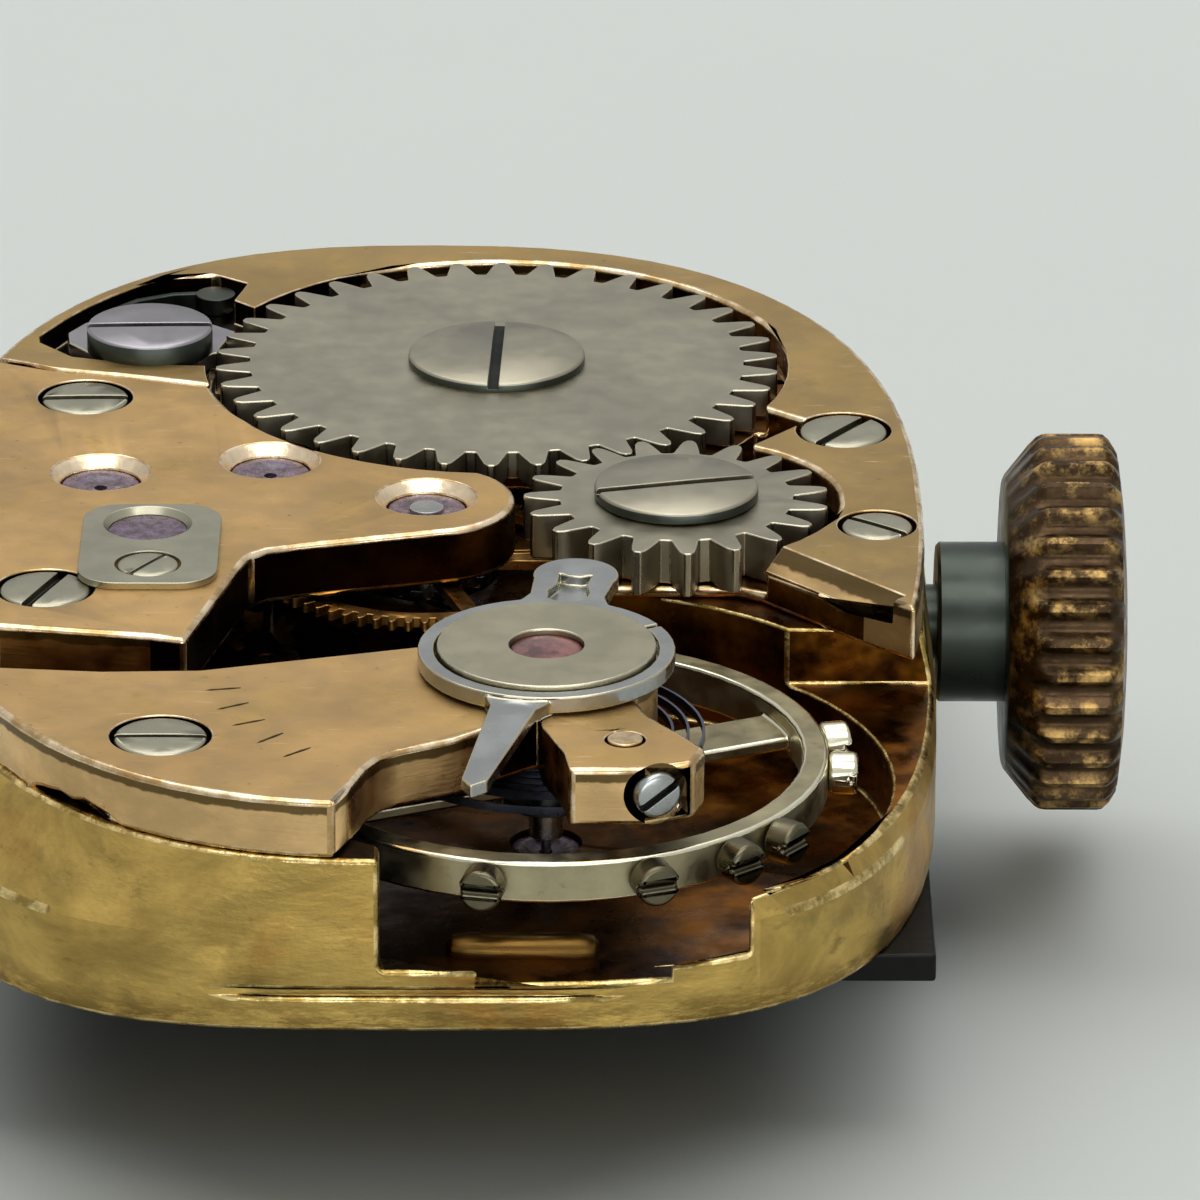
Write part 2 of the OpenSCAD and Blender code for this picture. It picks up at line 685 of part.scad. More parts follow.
module cap_plate_plan() {
    c = 0.46;
    size = cap_to - cap_from;
    for (x = [cap_from[0] + c, cap_to[0] - c], y = [cap_from[1] + c, cap_to[1] - c])
        translate([x, y]) circle(r = c);
    translate(cap_from + [0, c]) square([size[0], size[1] - 2 * c]);
    translate(cap_from + [c, 0]) square([size[0] - 2 * c, size[1]]);
}

module escape_cap_plate() {
    color(steel) difference() {
        slab(top_z, top_z + cap_t) cap_plate_plan();
        at(escape_at, top_z)
            cylinder(r1 = bridge_jewel_r - 0.02, r2 = bridge_jewel_r + 0.05, h = cap_t + 0.001);
        post(cap_screw_at, cap_screw_r + run_gap, top_z - 0.1, top_z + cap_t + 0.1);
    }
}

module escape_cap_jewel() {
    color(ruby) {
        post(escape_at, bridge_jewel_r, top_z - 0.18, top_z);
        jewel(escape_at, bridge_jewel_r, top_z - 0.4, 0.18, pivot_r + pivot_gap);
    }
}

module escape_cap_screw() {
    color(dark_steel) slotted_screw(cap_screw_at, cap_screw_r, cap_t - 0.01, 0.11, top_z + cap_t,
                                    plate_h + 0.05, cap_slot, small_slot_w);
}

// Escapement

module pallet_bridge() {
    reach = bearing(pallet_screw_at, pallet_at);
    color(gilt) difference() {
        union() {
            post(pallet_screw_at, 0.6, wall_h, wall_h + 0.3);
            at(pallet_screw_at, wall_h) rotate(reach) translate([0, -0.4, 0])
                cube([norm(pallet_at - pallet_screw_at), 0.8, 0.3]);
            post(pallet_at, 0.4, wall_h, wall_h + 0.3);
        }
        post(pallet_screw_at, 0.22, wall_h - 0.1, wall_h + 0.4);
        post(pallet_at, pivot_r + pivot_gap, wall_h - 0.1, wall_h + 0.4);
    }
}

module pallet_bridge_screw() {
    color(steel) slotted_screw(pallet_screw_at, 0.36, 0.16, 0.19, wall_h + 0.48, wall_h - 0.5,
                               pallet_slot, small_slot_w);
}

module escape_wheel() {
    step = 360 / escape_teeth;
    root = escape_r - 0.36;
    color(train_brass) at(escape_at, escape_z) linear_extrude(escape_t) difference() {
        polygon([for (i = [0:escape_teeth - 1])
            for (p = [[root, 0], [escape_r - 0.1, 7], [escape_r, 11], [escape_r - 0.14, 11.5], [root, 7]])
                polar(p[0], step * i + p[1] + 12)]);
        difference() {
            circle(r = root - 0.18);
            circle(r = 0.36);
            for (i = [0:3]) rotate(90 * i) translate([0, -0.09]) square([root, 0.18]);
        }
        circle(r = arbor_r);
    }
}

module escape_pinion() {
    color(steel) {
        at(escape_at, escape_z + escape_t + 0.1) leaves(escape_leaves, fourth_m, 0.5, escape_leaf_phase);
        post(escape_at, arbor_r, 0.74, top_z - 0.44);
        post(escape_at, pivot_r, 0.52, top_z - 0.23);
    }
}

module pallet_fork() {
    color(steel) at(pallet_at, fork_z) rotate(escape_to_balance) union() {
        linear_extrude(fork_t) {
            circle(r = 0.24);
            polygon([[0.1, 0.14], [fork_l - 0.5, 0.08], [fork_l - 0.32, 0.3], [fork_l, 0.3], [fork_l, 0.16],
                     [fork_l - 0.22, 0.12], [fork_l - 0.22, -0.12], [fork_l, -0.16], [fork_l, -0.3],
                     [fork_l - 0.32, -0.3], [fork_l - 0.5, -0.08], [0.1, -0.14]]);
            for (s = [-1, 1])
                polygon([[0.1, 0], [-0.12, s * 0.1], [-0.3, s * 0.6], [-0.24, s * 0.8], [-0.02, s * 0.86],
                         [0.12, s * 0.62]]);
        }
        translate([0, 0, -0.2]) cylinder(r = arbor_r, h = 0.64);
        translate([0, 0, 0.52 - fork_z]) cylinder(r = pivot_r, h = 1.12);
    }
}

module pallet_stones() {
    color(ruby) for (s = [-1, 1])
        at(escape_at, fork_z) rotate(escape_to_balance + 30 * s)
            translate([escape_r + 0.03, -0.08, 0]) intersection() {
                cube([0.24, 0.16, fork_t]);
                translate([0.12, 0.08, -0.1]) cylinder(r = 0.14, h = fork_t + 0.2);
            }
}

// Going train

module barrel_drum() {
    color(train_brass) at(barrel_at, barrel_z) difference() {
        union() {
            cylinder(r = barrel_wall_r, h = barrel_h);
            linear_extrude(0.26) gear_outline(barrel_teeth, barrel_m, 1, 1.2, 0.44, 0);
        }
        translate([0, 0, 0.14]) cylinder(r = barrel_wall_r - barrel_wall_t, h = 2);
        translate([0, 0, barrel_h - 0.1]) cylinder(r = barrel_wall_r - 0.1, h = 1);
        translate([0, 0, -1]) cylinder(r = 0.5, h = 3);
    }
}

module barrel_cover() {
    color(train_brass) at(barrel_at, barrel_top - 0.1) difference() {
        cylinder(r = barrel_wall_r - 0.1, h = 0.1);
        translate([0, 0, -1]) cylinder(r = 0.6, h = 3);
    }
}

module barrel_arbor() {
    color(steel) {
        post(barrel_at, 0.35, 0.45, barrel_z + 0.2);
        post(barrel_at, 0.47, barrel_z - 0.03, barrel_z + 0.2);
        post(barrel_at, 0.9, barrel_z + 0.18, barrel_top - 0.14);
        difference() {
            post(barrel_at, 0.55, barrel_top - 0.15, ratchet_z);
            post(barrel_at, 0.28, ratchet_z - 0.4, top_z);
        }
        difference() {
            at(barrel_at + [-0.4, -0.4], ratchet_z) cube([0.8, 0.8, ratchet_t - 0.02]);
            post(barrel_at, 0.28, ratchet_z - 0.4, top_z + 0.1);
        }
    }
}

// A flat band wound as a spiral, with its inner end at the arbor
module spiral_band(inner, outer, turns, t, h, start) {
    steps = ceil(turns * 28);
    function spot(i, side) =
        polar(inner + (outer - inner) * i / steps + side * t / 2, start + 360 * turns * i / steps);
    linear_extrude(h)
        polygon(concat([for (i = [0:steps]) spot(i, 1)], [for (i = [steps:-1:0]) spot(i, -1)]));
}

module mainspring() {
    color(dark_steel) at(barrel_at, barrel_z + 0.2)
        spiral_band(0.9 + mainspring_t / 2 + 0.01, barrel_wall_r - barrel_wall_t - 0.06, mainspring_turns,
                    mainspring_t, barrel_h - 0.36, 0);
}

module centre_wheel() {
    color(train_brass) at([0, 0], centre_wheel_z)
        spoked_wheel(centre_teeth, centre_m, wheel_t, 0.16, 0.42, centre_arbor_r, 5, 0);
}

module centre_pinion() {
    color(steel) {
        at([0, 0], barrel_z + 0.02) leaves(centre_leaves, barrel_m, 0.96, centre_leaf_phase);
        post([0, 0], arbor_r, barrel_z + 0.5, top_z - 0.5);
        post([0, 0], centre_arbor_r, barrel_z + 0.9, top_z - sink_depth + 0.02);
        post([0, 0], 0.25, 0.5, barrel_z + 0.1);
        post([0, 0], cannon_arbor_r, -minute_pipe_l + 0.3, 0.6);
    }
}

module third_wheel() {
    color(train_brass) at(third_at, third_wheel_z)
        spoked_wheel(third_teeth, third_m, wheel_t, 0.15, 0.36, arbor_r, 5, 0);
}

module third_pinion() {
    color(steel) {
        at(third_at, centre_wheel_z - 0.08) leaves(third_leaves, centre_m, 0.26, third_leaf_phase);
        post(third_at, arbor_r, 0.5, plate_h + 0.14);
        post(third_at, pivot_r, 0.24, top_z - 0.26);
    }
}

module fourth_wheel() {
    color(train_brass) at(fourth_at, fourth_wheel_z)
        spoked_wheel(fourth_teeth, fourth_m, wheel_t, 0.15, 0.34, arbor_r, 5, 0);
}

module fourth_pinion() {
    color(steel) {
        at(fourth_at, third_wheel_z - 0.08) leaves(fourth_leaves, third_m, 0.34, fourth_leaf_phase);
        post(fourth_at, arbor_r, 0.42, plate_h + 0.14);
        post(fourth_at, pivot_r, 0.22, top_z - 0.26);
    }
}

// Winding work

module ratchet_wheel() {
    color(steel) at(barrel_at, ratchet_z) difference() {
        linear_extrude(ratchet_t) gear_outline(ratchet_teeth, winding_m, 1, 1.45, 0.44, 4, winding_root);
        translate([-0.41, -0.41, -1]) cube([0.82, 0.82, 3]);
    }
}

module ratchet_screw() {
    color(steel) slotted_screw(barrel_at, ratchet_screw_r, 0.13, 0.27, ratchet_top + 0.13,
                               ratchet_z - 0.35, ratchet_slot, slot_w);
}

module crown_wheel() {
    color(steel) at(crown_wheel_at, crown_wheel_z) difference() {
        linear_extrude(ratchet_top - crown_wheel_z)
            gear_outline(crown_wheel_teeth, winding_m, 1, 1.45, 0.42, winding_phase, winding_root);
        translate([0, 0, -1]) cylinder(r = 0.75 + run_gap, h = 3);
    }
}

module crown_wheel_core() {
    color(steel) tube(crown_wheel_at, 0.75, 0.3, crown_seat_z, ratchet_top + 0.02);
}

module crown_wheel_screw() {
    color(steel) slotted_screw(crown_wheel_at, crown_wheel_screw_r, 0.15, 0.29, ratchet_top + 0.17,
                               plate_h + 0.02, crown_wheel_slot, slot_w);
}

module click_plan() {
    translate(click_at) circle(r = 0.6);
    polygon([[-3.9, 4.6], [-4.25, 4.95], [-4.52, 5.3], [-4.55, 5.65], [-4.35, 6.0], [-4.05, 6.25],
             [-3.5, 6.38], [-2.9, 6.1], [-2.5, 5.75], [-2.0, 5.4], [-2.1, 5.22], [-2.7, 4.95],
             [-3.1, 4.6]]);
}

module click() {
    color(steel) difference() {
        slab(click_z, click_z + click_t) difference() {
            click_plan();
            ratchet_circle(0.03);
        }
        post(click_at, 0.3 + run_gap, 0, 4);
    }
}

module click_screw() {
    top = top_z + click_screw_t;
    color(steel) slotted_screw(click_at, click_screw_r, top - click_z - click_t - 0.01, 0.3, top,
                               plate_h + 0.02, click_slot, slot_w);
}

module click_spring() {
    color(dark_steel) slab(click_floor, click_floor + 0.22) {
        translate(click_spring_at) circle(r = 0.25);
        polygon([[-2.75, 7.2], [-3.3, 7.13], [-3.75, 6.9], [-4.1, 6.5],
                 [-4.02, 6.45], [-3.7, 6.81], [-3.27, 7.04], [-2.75, 7.1]]);
    }
}

// Keyless work: pieces that turn about the stem's axis are drawn upright and laid along X
module along_stem(x) {
    translate([x, 0, stem_z]) rotate([0, 90, 0]) rotate([0, 0, 180]) children();
}

module winding_pinion() {
    color(steel) along_stem(4.43) difference() {
        linear_extrude(0.54)
            gear_outline(winding_teeth, 2 * winding_pinion_r / (winding_teeth + 2), 1, 1.4, 0.38,
                         winding_pinion_phase);
        translate([0, 0, -1]) cylinder(r = 0.37, h = 3);
    }
}

module sliding_pinion() {
    x0 = 3.52;
    color(steel) along_stem(x0) difference() {
        union() {
            cylinder(r = clutch_r, h = 0.26);
            cylinder(r = 0.5, h = 0.6);
            translate([0, 0, 0.56]) cylinder(r = clutch_r, h = 0.27);
        }
        translate([-0.27, -0.27, -1]) cube([0.54, 0.54, 3]);
        for (i = [0:11]) rotate(30 * i) translate([0.5, -0.07, -0.1]) cube([0.4, 0.14, 0.2]);
    }
}

module stem() {
    color(steel) union() {
        along_stem(1.78) cylinder(r = 0.22, h = 1);
        translate([2.72, -stem_square / 2, stem_z - stem_square / 2])
            cube([1.75, stem_square, stem_square]);
        along_stem(4.4) cylinder(r = 0.34, h = 0.6);
        along_stem(4.9) cylinder(r = 0.28, h = 0.5);
        along_stem(5.26) cylinder(r = stem_r, h = crown_x - 5.26 - 0.3);
        along_stem(crown_x - 0.4) cylinder(r = 0.36, h = 0.9);
    }
}

module crown_profile() {
    polygon([[0.36, -0.3], [0.5, -0.3], [0.5, -crown_hub_l], [crown_hub_r, -crown_hub_l],
             [crown_hub_r, 0], [1.75, 0], [crown_r, crown_bevel], [crown_r, crown_t - 0.28],
             [crown_r - 0.2, crown_t - 0.12], [1.2, crown_t - 0.03], [0, crown_t],
             [0, 0.52], [0.36, 0.5]]);
}

module crown() {
    color(bronze) along_stem(crown_x) difference() {
        rotate_extrude() crown_profile();
        translate([0, 0, 0.1]) linear_extrude(crown_t - 0.12) difference() {
            circle(r = crown_r + 0.5);
            crown_ribs_plan();
        }
    }
}

module crown_ribs_plan() {
    step = 360 / crown_ribs;
    polygon([for (i = [0:crown_ribs - 1])
        for (p = [[crown_r - crown_rib_depth, -0.32], [crown_r + 0.03, -0.13], [crown_r + 0.03, 0.13],
                  [crown_r - crown_rib_depth, 0.32]])
            polar(p[0], step * (i + p[1]))]);
}

module setting_lever() {
    pin = [5.12, 0];
    color(steel) union() {
        slab(0.06, 0.28) {
            translate(setting_lever_at) circle(r = 0.42);
            polygon([[4.5, 1.7], [4.62, 1.25], [5.01, 0.76], [5.01, -0.1], [5.25, -0.1], [5.3, 0.3],
                     [5.32, 1.75]]);
        }
        post(pin, 0.1, 0.2, stem_z - 0.3);
        post(setting_lever_at, 0.13, 0.1, 0.55);
    }
}

module yoke() {
    pin = [3.93, 0];
    color(steel) union() {
        slab(0.06, 0.28) {
            translate(yoke_at) circle(r = 0.4);
            translate(pin) circle(r = 0.19);
            polygon([yoke_at + [-0.1, -0.4], pin + [-0.15, -0.1], pin + [0.15, 0.1],
                     yoke_at + [0.35, 0.2]]);
        }
        post(pin, 0.12, 0.2, stem_z - 0.57);
        post(yoke_at, 0.13, 0.1, 0.55);
    }
}

module setting_lever_spring() {
    color(steel) difference() {
        slab(0.06, 0.28) {
            translate(setting_screw_at) circle(r = 0.45);
            polygon([[3.3, 3.5], [3.8, 2.8], [4.3, 3.3], [4.1, 3.6]]);
        }
        post(setting_screw_at, 0.18, -1, 1);
    }
}

module setting_screw() {
    color(steel) difference() {
        union() {
            post(setting_screw_at, 0.3, 0.02, 0.06);
            post(setting_screw_at, 0.15, 0.05, 0.6);
        }
        at(setting_screw_at - [0.4, 0.03], -0.1) cube([0.8, 0.06, 0.14]);
    }
}

module yoke_spring() {
    color(dark_steel) slab(0.08, 0.26) polygon([[2.72, 3.42], [2.82, 3.46], [3.2, 1.75], [3.12, 1.7]]);
}

// Motion work

module cannon_pinion() {
    color(steel) difference() {
        union() {
            at([0, 0], 0.18) leaves(cannon_teeth, cannon_m, 0.24, 0);
            post([0, 0], minute_pipe_r, -minute_pipe_l, -hour_pipe_l - stack_gap);
            at([0, 0], -hour_pipe_l - stack_gap)
                cylinder(r1 = minute_pipe_r, r2 = minute_pipe_r + pipe_taper,
                         h = hour_pipe_l + stack_gap + 0.2);
        }
        post([0, 0], cannon_arbor_r + 0.01, -minute_pipe_l - 1, 2);
    }
}

module hour_wheel() {
    color(train_brass) difference() {
        union() {
            at([0, 0], 0.02) linear_extrude(0.12)
                gear_outline(hour_teeth, hour_m, 1, 1.2, 0.42, hour_phase);
            post([0, 0], hour_pipe_r, -hour_pipe_l, -dial_t - 0.15);
            at([0, 0], -dial_t - 0.15)
                cylinder(r1 = hour_pipe_r, r2 = hour_pipe_r + pipe_taper, h = dial_t + 0.25);
        }
        post([0, 0], minute_pipe_r + pipe_taper + run_gap, -hour_pipe_l - 1, 2);
    }
}

module minute_wheel() {
    color(train_brass) {
        at(minute_at, 0.18) linear_extrude(0.1)
            gear_outline(minute_teeth, cannon_m, 1, 1.2, 0.44, minute_phase);
        at(minute_at, 0.02) leaves(minute_leaves, hour_m, 0.17, 0);
        post(minute_at, 0.13, 0.2, 0.45);
    }
}

module setting_wheel() {
    color(steel) {
        at(setting_at, 0.18) linear_extrude(0.26)
            gear_outline(setting_teeth, cannon_m, 1, 1.2, 0.42, setting_phase);
        post(setting_at, 0.13, 0.2, 0.62);
    }
}

// Balance

module balance_wheel() {
    color(plate_brass) at(balance_at) difference() {
        union() {
            tube([0, 0], rim_r, rim_r - rim_t, rim_bottom, rim_top);
            post([0, 0], 0.55, rim_bottom + 0.12, rim_bottom + 0.3);
            rotate(24) translate([-rim_r + rim_t / 2, -arm_w / 2, rim_bottom + 0.12])
                cube([2 * rim_r - rim_t, arm_w, 0.16]);
        }
        post([0, 0], 0.2, 0, 4);
    }
}

rim_screw_angles = [for (a = [-102, -69, -50, -37, -2, 13], b = [0, 180]) a + b];

module balance_screws() {
    color(plate_brass) for (a = rim_screw_angles)
        at(balance_at, rim_bottom + rim_h / 2) rotate(a) translate([rim_r, 0, 0]) rotate([0, 90, 0])
            difference() {
                cylinder(r = rim_screw_r, h = rim_screw_l);
                translate([-0.04, -0.5, rim_screw_l - 0.08]) cube([0.08, 1, 1]);
            }
}

module balance_staff() {
    color(steel) {
        post(balance_at, 0.2, 0.7, 2.2);
        post(balance_at, 0.3, spring_z - 0.1, spring_z + 0.1);
        post(balance_at, pivot_r, 0.32, 2.6);
    }
}

module roller() {
    color(steel) difference() {
        post(balance_at, 0.5, roller_z, roller_z + 0.12);
        post(balance_at, 0.2, 0, 4);
    }
    color(ruby) at(balance_at + polar(impulse_r, escape_to_balance + 180), fork_z)
        cylinder(r = 0.06, h = roller_z - fork_z + 0.01);
}

// Hairspring: one spiral tube from the collet to the stud
spring_inner = 0.345;
spring_outer = norm(stud_at - balance_at) - 0.05;
spring_end = bearing(balance_at, stud_at);
spring_rings = 24 * hairspring_turns;
function spring_radius(i) = lerp(spring_inner, spring_outer, i / spring_rings);
function spring_angle(i) = spring_end - 360 * (spring_rings - i) / 24;
spring_step = (spring_outer - spring_inner) / hairspring_turns;
spring_gap = spring_step - 2 * hairspring_t;
echo(least_gap_of_the_hairspring_to_itself = spring_gap);

module hairspring() {
    sides = [for (k = [0:5]) [hairspring_t * cos(60 * k), hairspring_h * sin(60 * k)]];
    rings = spring_rings + 1;
    points = [for (i = [0:spring_rings], s = sides)
        let (p = balance_at + polar(spring_radius(i) + s[0], spring_angle(i)))
            [p[0], p[1], spring_z + s[1]]];
    walls = [for (i = [0:spring_rings - 1], k = [0:5]) let (a = 6 * i + k, b = 6 * i + (k + 1) % 6)
        for (f = [[a, b, b + 6], [a, b + 6, a + 6]]) f];
    first = [for (k = [1:4]) [0, k + 1, k]];
    last = [for (k = [1:4]) [6 * (rings - 1), 6 * (rings - 1) + k, 6 * (rings - 1) + k + 1]];
    color([0.25, 0.28, 0.4]) polyhedron(points, concat(walls, first, last));
}

module hairspring_stud() {
    color(steel) post(stud_at, 0.2, spring_z - 0.1, top_z + 0.02);
}

// The stud screw's axis, from the middle of its head to the stud
stud_screw_reach = norm(stud_at - stud_screw_at) - 0.2;

module along_stud_screw() {
    at(stud_screw_at, stud_screw_z) rotate(bearing(stud_screw_at, stud_at)) rotate([0, 90, 0]) children();
}

module stud_screw() {
    color(steel) along_stud_screw() difference() {
        union() {
            translate([0, 0, 0.08]) cylinder(r = stud_screw_r, h = 0.2);
            translate([0, 0, 0.2]) cylinder(r = 0.12, h = stud_screw_reach - 0.2);
        }
        translate([-1, -small_slot_w / 2, -1]) cube([2, small_slot_w, 1.16]);
    }
}

module end_piece() {
    color(steel) difference() {
        post(balance_at, end_piece_r, top_z, regulator_z + regulator_t + end_piece_proud);
        post(balance_at, end_stone_r + 0.01, top_z - 1, 4);
    }
}

module end_stone() {
    color(ruby) post(balance_at, end_stone_r, 2.62, regulator_z + regulator_t + end_piece_proud - 0.02);
}

// The regulator's lobe has a blind hole, whose floor carries the pins on both sides of the hairspring
lobe_dir = bearing(balance_at, lobe_at);
lobe_reach = norm(lobe_at - balance_at);
curb_r = spring_outer - spring_step * (spring_end - lobe_dir + 360) / 360;

module regulator_plan() {
    difference() {
        union() {
            circle(r = regulator_r);
            rotate(lobe_dir)
                polygon([[1.1, -0.62], [1.6, -0.44], [lobe_reach, -0.48], [lobe_reach, 0.48], [1.6, 0.44],
                         [1.1, 0.62]]);
            translate(polar(lobe_reach, lobe_dir)) circle(r = 0.5);
        }
        circle(r = end_piece_r + run_gap);
        rotate(28) translate([0, -0.03]) square([2, 0.06]);
    }
}

module regulator_hole_plan() {
    polygon([[2.24, 0.19], [2.17, 0.07], [2.17, -0.07], [2.24, -0.19], [1.95, -0.17], [1.72, -0.24],
             [1.5, -0.22], [1.42, -0.1], [1.42, 0.1], [1.5, 0.22], [1.72, 0.24], [1.95, 0.17]]);
}

module regulator() {
    color(steel) at(balance_at) union() {
        difference() {
            slab(regulator_z, regulator_z + regulator_t) regulator_plan();
            slab(regulator_z + 0.08, top_z + 1) rotate(lobe_dir) regulator_hole_plan();
        }
        at([0, 0], regulator_z) rotate(bearing(balance_at, pointer_to)) translate([1.34, 0, 0])
            rotate([0, pointer_drop, 0]) linear_extrude(regulator_t - 0.04)
                polygon([[0, -0.42], [0.3, -0.27], [2.15, -0.15], [2.32, 0], [2.15, 0.15], [0.3, 0.27],
                         [0, 0.42]]);
        for (s = [-1, 1])
            post(polar(curb_r + 0.14 * s, lobe_dir), 0.06, spring_z - 0.1, regulator_z + 0.02);
    }
}

// Crown side and dial

module dial() {
    color(dial_black) difference() {
        union() {
            translate([-dial_w / 2, -dial_l / 2, -dial_t]) cube([dial_w, dial_l, dial_t]);
            for (p = dial_feet_at) post(p, 0.35, -0.01, 1);
        }
        post([0, 0], dial_hole_r, -2, 2);
    }
}

main_plate();
barrel_bridge();
train_bridge();
balance_cock();
barrel_bridge_screws();
train_bridge_screws();
cock_screw();
train_jewels();
plate_jewels();
escape_cap_plate();
escape_cap_jewel();
escape_cap_screw();
pallet_bridge();
pallet_bridge_screw();
click_screw();
click_spring();
crown_wheel_core();
crown_wheel_screw();
hairspring_stud();
stud_screw();
end_piece();
end_stone();
dial();
setting_lever_spring();
setting_screw();
yoke_spring();
ratchet_wheel();
ratchet_screw();
barrel_arbor();
crown_wheel();
click();
barrel_drum();
barrel_cover();
mainspring();
centre_wheel();
centre_pinion();
cannon_pinion();
third_wheel();
third_pinion();
fourth_wheel();
fourth_pinion();
escape_wheel();
escape_pinion();
pallet_fork();
pallet_stones();
balance_wheel();
balance_screws();
balance_staff();
roller();
hairspring();
regulator();
winding_pinion();
sliding_pinion();
stem();
crown();
setting_lever();
yoke();
setting_wheel();
minute_wheel();
hour_wheel();
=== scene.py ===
"""Looks of a small hand-wound watch movement: metal finishes, jewels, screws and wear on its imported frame."""

import math

import bmesh
import bpy
from mathutils import Matrix, Vector
from mathutils.bvhtree import BVHTree


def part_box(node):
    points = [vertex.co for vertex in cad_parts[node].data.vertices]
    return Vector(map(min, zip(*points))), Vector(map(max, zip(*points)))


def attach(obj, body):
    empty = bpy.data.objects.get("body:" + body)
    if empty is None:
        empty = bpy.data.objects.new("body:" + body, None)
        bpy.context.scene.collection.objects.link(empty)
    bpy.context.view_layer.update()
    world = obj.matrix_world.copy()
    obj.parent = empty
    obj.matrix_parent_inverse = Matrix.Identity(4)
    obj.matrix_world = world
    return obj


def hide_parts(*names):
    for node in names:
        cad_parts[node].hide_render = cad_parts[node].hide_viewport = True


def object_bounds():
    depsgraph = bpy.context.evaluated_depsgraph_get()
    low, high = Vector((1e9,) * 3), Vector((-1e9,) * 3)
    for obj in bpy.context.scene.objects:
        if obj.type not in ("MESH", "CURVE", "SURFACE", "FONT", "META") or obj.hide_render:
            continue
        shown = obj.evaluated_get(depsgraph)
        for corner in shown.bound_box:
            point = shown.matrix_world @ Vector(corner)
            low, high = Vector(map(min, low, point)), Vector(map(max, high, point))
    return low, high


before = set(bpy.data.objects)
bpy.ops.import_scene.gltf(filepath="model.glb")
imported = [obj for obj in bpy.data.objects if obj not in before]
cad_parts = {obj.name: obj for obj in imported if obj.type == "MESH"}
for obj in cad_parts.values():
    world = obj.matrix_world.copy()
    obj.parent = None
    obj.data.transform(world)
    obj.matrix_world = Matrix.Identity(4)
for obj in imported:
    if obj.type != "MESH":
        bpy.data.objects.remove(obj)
CAD_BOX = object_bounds()

bl_info = {
    "name": "Watch Movement",
    "version": (1, 0, 0),
    "blender": (4, 5, 0),
    "location": "3D View > Sidebar > Movement",
    "description": "Dresses the frame of a small hand-wound watch movement in its metals and jewels",
    "category": "Add Mesh",
}

# One millimetre in metres. The shaping functions work in millimetres, and make_piece scales to metres
MM = 0.001
# Where the stud screw's head starts, in millimetres
STUD_SCREW_AT = (2.64, -8.02)
# Names of the shares that a point or edge gets: how far a rib stands out, and how wide the bevel is.
# The second is the bevel modifier's own name
RIB_SHARE = "height_of_rib"
EDGE_SHARE = "bevel_weight_edge"
# A face whose normal rises less than this is upright, and an edge sharper than this angle in degrees is bevelled
UPRIGHT = 0.6
SHARP = 32.0
# Reach of the polished sink round a jewel, in millimetres
SINK_REACH = 0.66
RUBY_IOR = 1.76
# How strongly the surroundings light the scene, and how bright they are where metal shows them
AMBIENT_STRENGTH = 0.2
SEEN_STRENGTH = 0.95


def srgb(red, green, blue):
    """A linear colour from three numbers, 0 to 255, as a colour picker shows them."""
    shares = (red / 255, green / 255, blue / 255)
    return tuple(s / 12.92 if s <= 0.04045 else ((s + 0.055) / 1.055) ** 2.4 for s in shares)


def tint(name, description, red, green, blue):
    """A colour property with its default as a colour picker shows it."""
    return bpy.props.FloatVectorProperty(
        name=name, description=description, subtype="COLOR", size=3, min=0, max=1,
        default=srgb(red, green, blue))


def length(name, description, millimetres):
    """A length property with its default in millimetres."""
    return bpy.props.FloatProperty(
        name=name, description=description, default=millimetres * MM, min=0, unit="LENGTH", precision=5)


def tilt(name, description, degrees):
    """An angle property with its default in degrees."""
    return bpy.props.FloatProperty(
        name=name, description=description, default=math.radians(degrees), subtype="ANGLE")


class MovementSizes(bpy.types.PropertyGroup):
    """Sizes of the fine forms that the looks add to the frame."""

    bridge_edge: length("Bridge edge", "Width of the polished bevel along the bridges' edges", 0.07)
    plate_edge: length("Plate edge", "Width of the worn bevel along the main plate's edges", 0.06)
    steel_edge: length("Steel edge", "Width of the bevel on flat steel work", 0.025)
    tooth_edge: length("Tooth edge", "Width of the bevel on the winding wheels' teeth", 0.02)
    slot_width: length("Slot width", "Width of the slots in the large screws", 0.13)
    small_slot_width: length("Small slot width", "Width of the slots in the small screws", 0.09)
    rib_depth: length("Rib depth", "Depth of the grooves between the crown's ribs", 0.13)
    spring_width: length("Hairspring height", "Height of the hairspring's ribbon", 0.1)
    spring_turns: bpy.props.IntProperty(
        name="Hairspring turns", description="Turns of the hairspring", default=9, min=4, max=14)


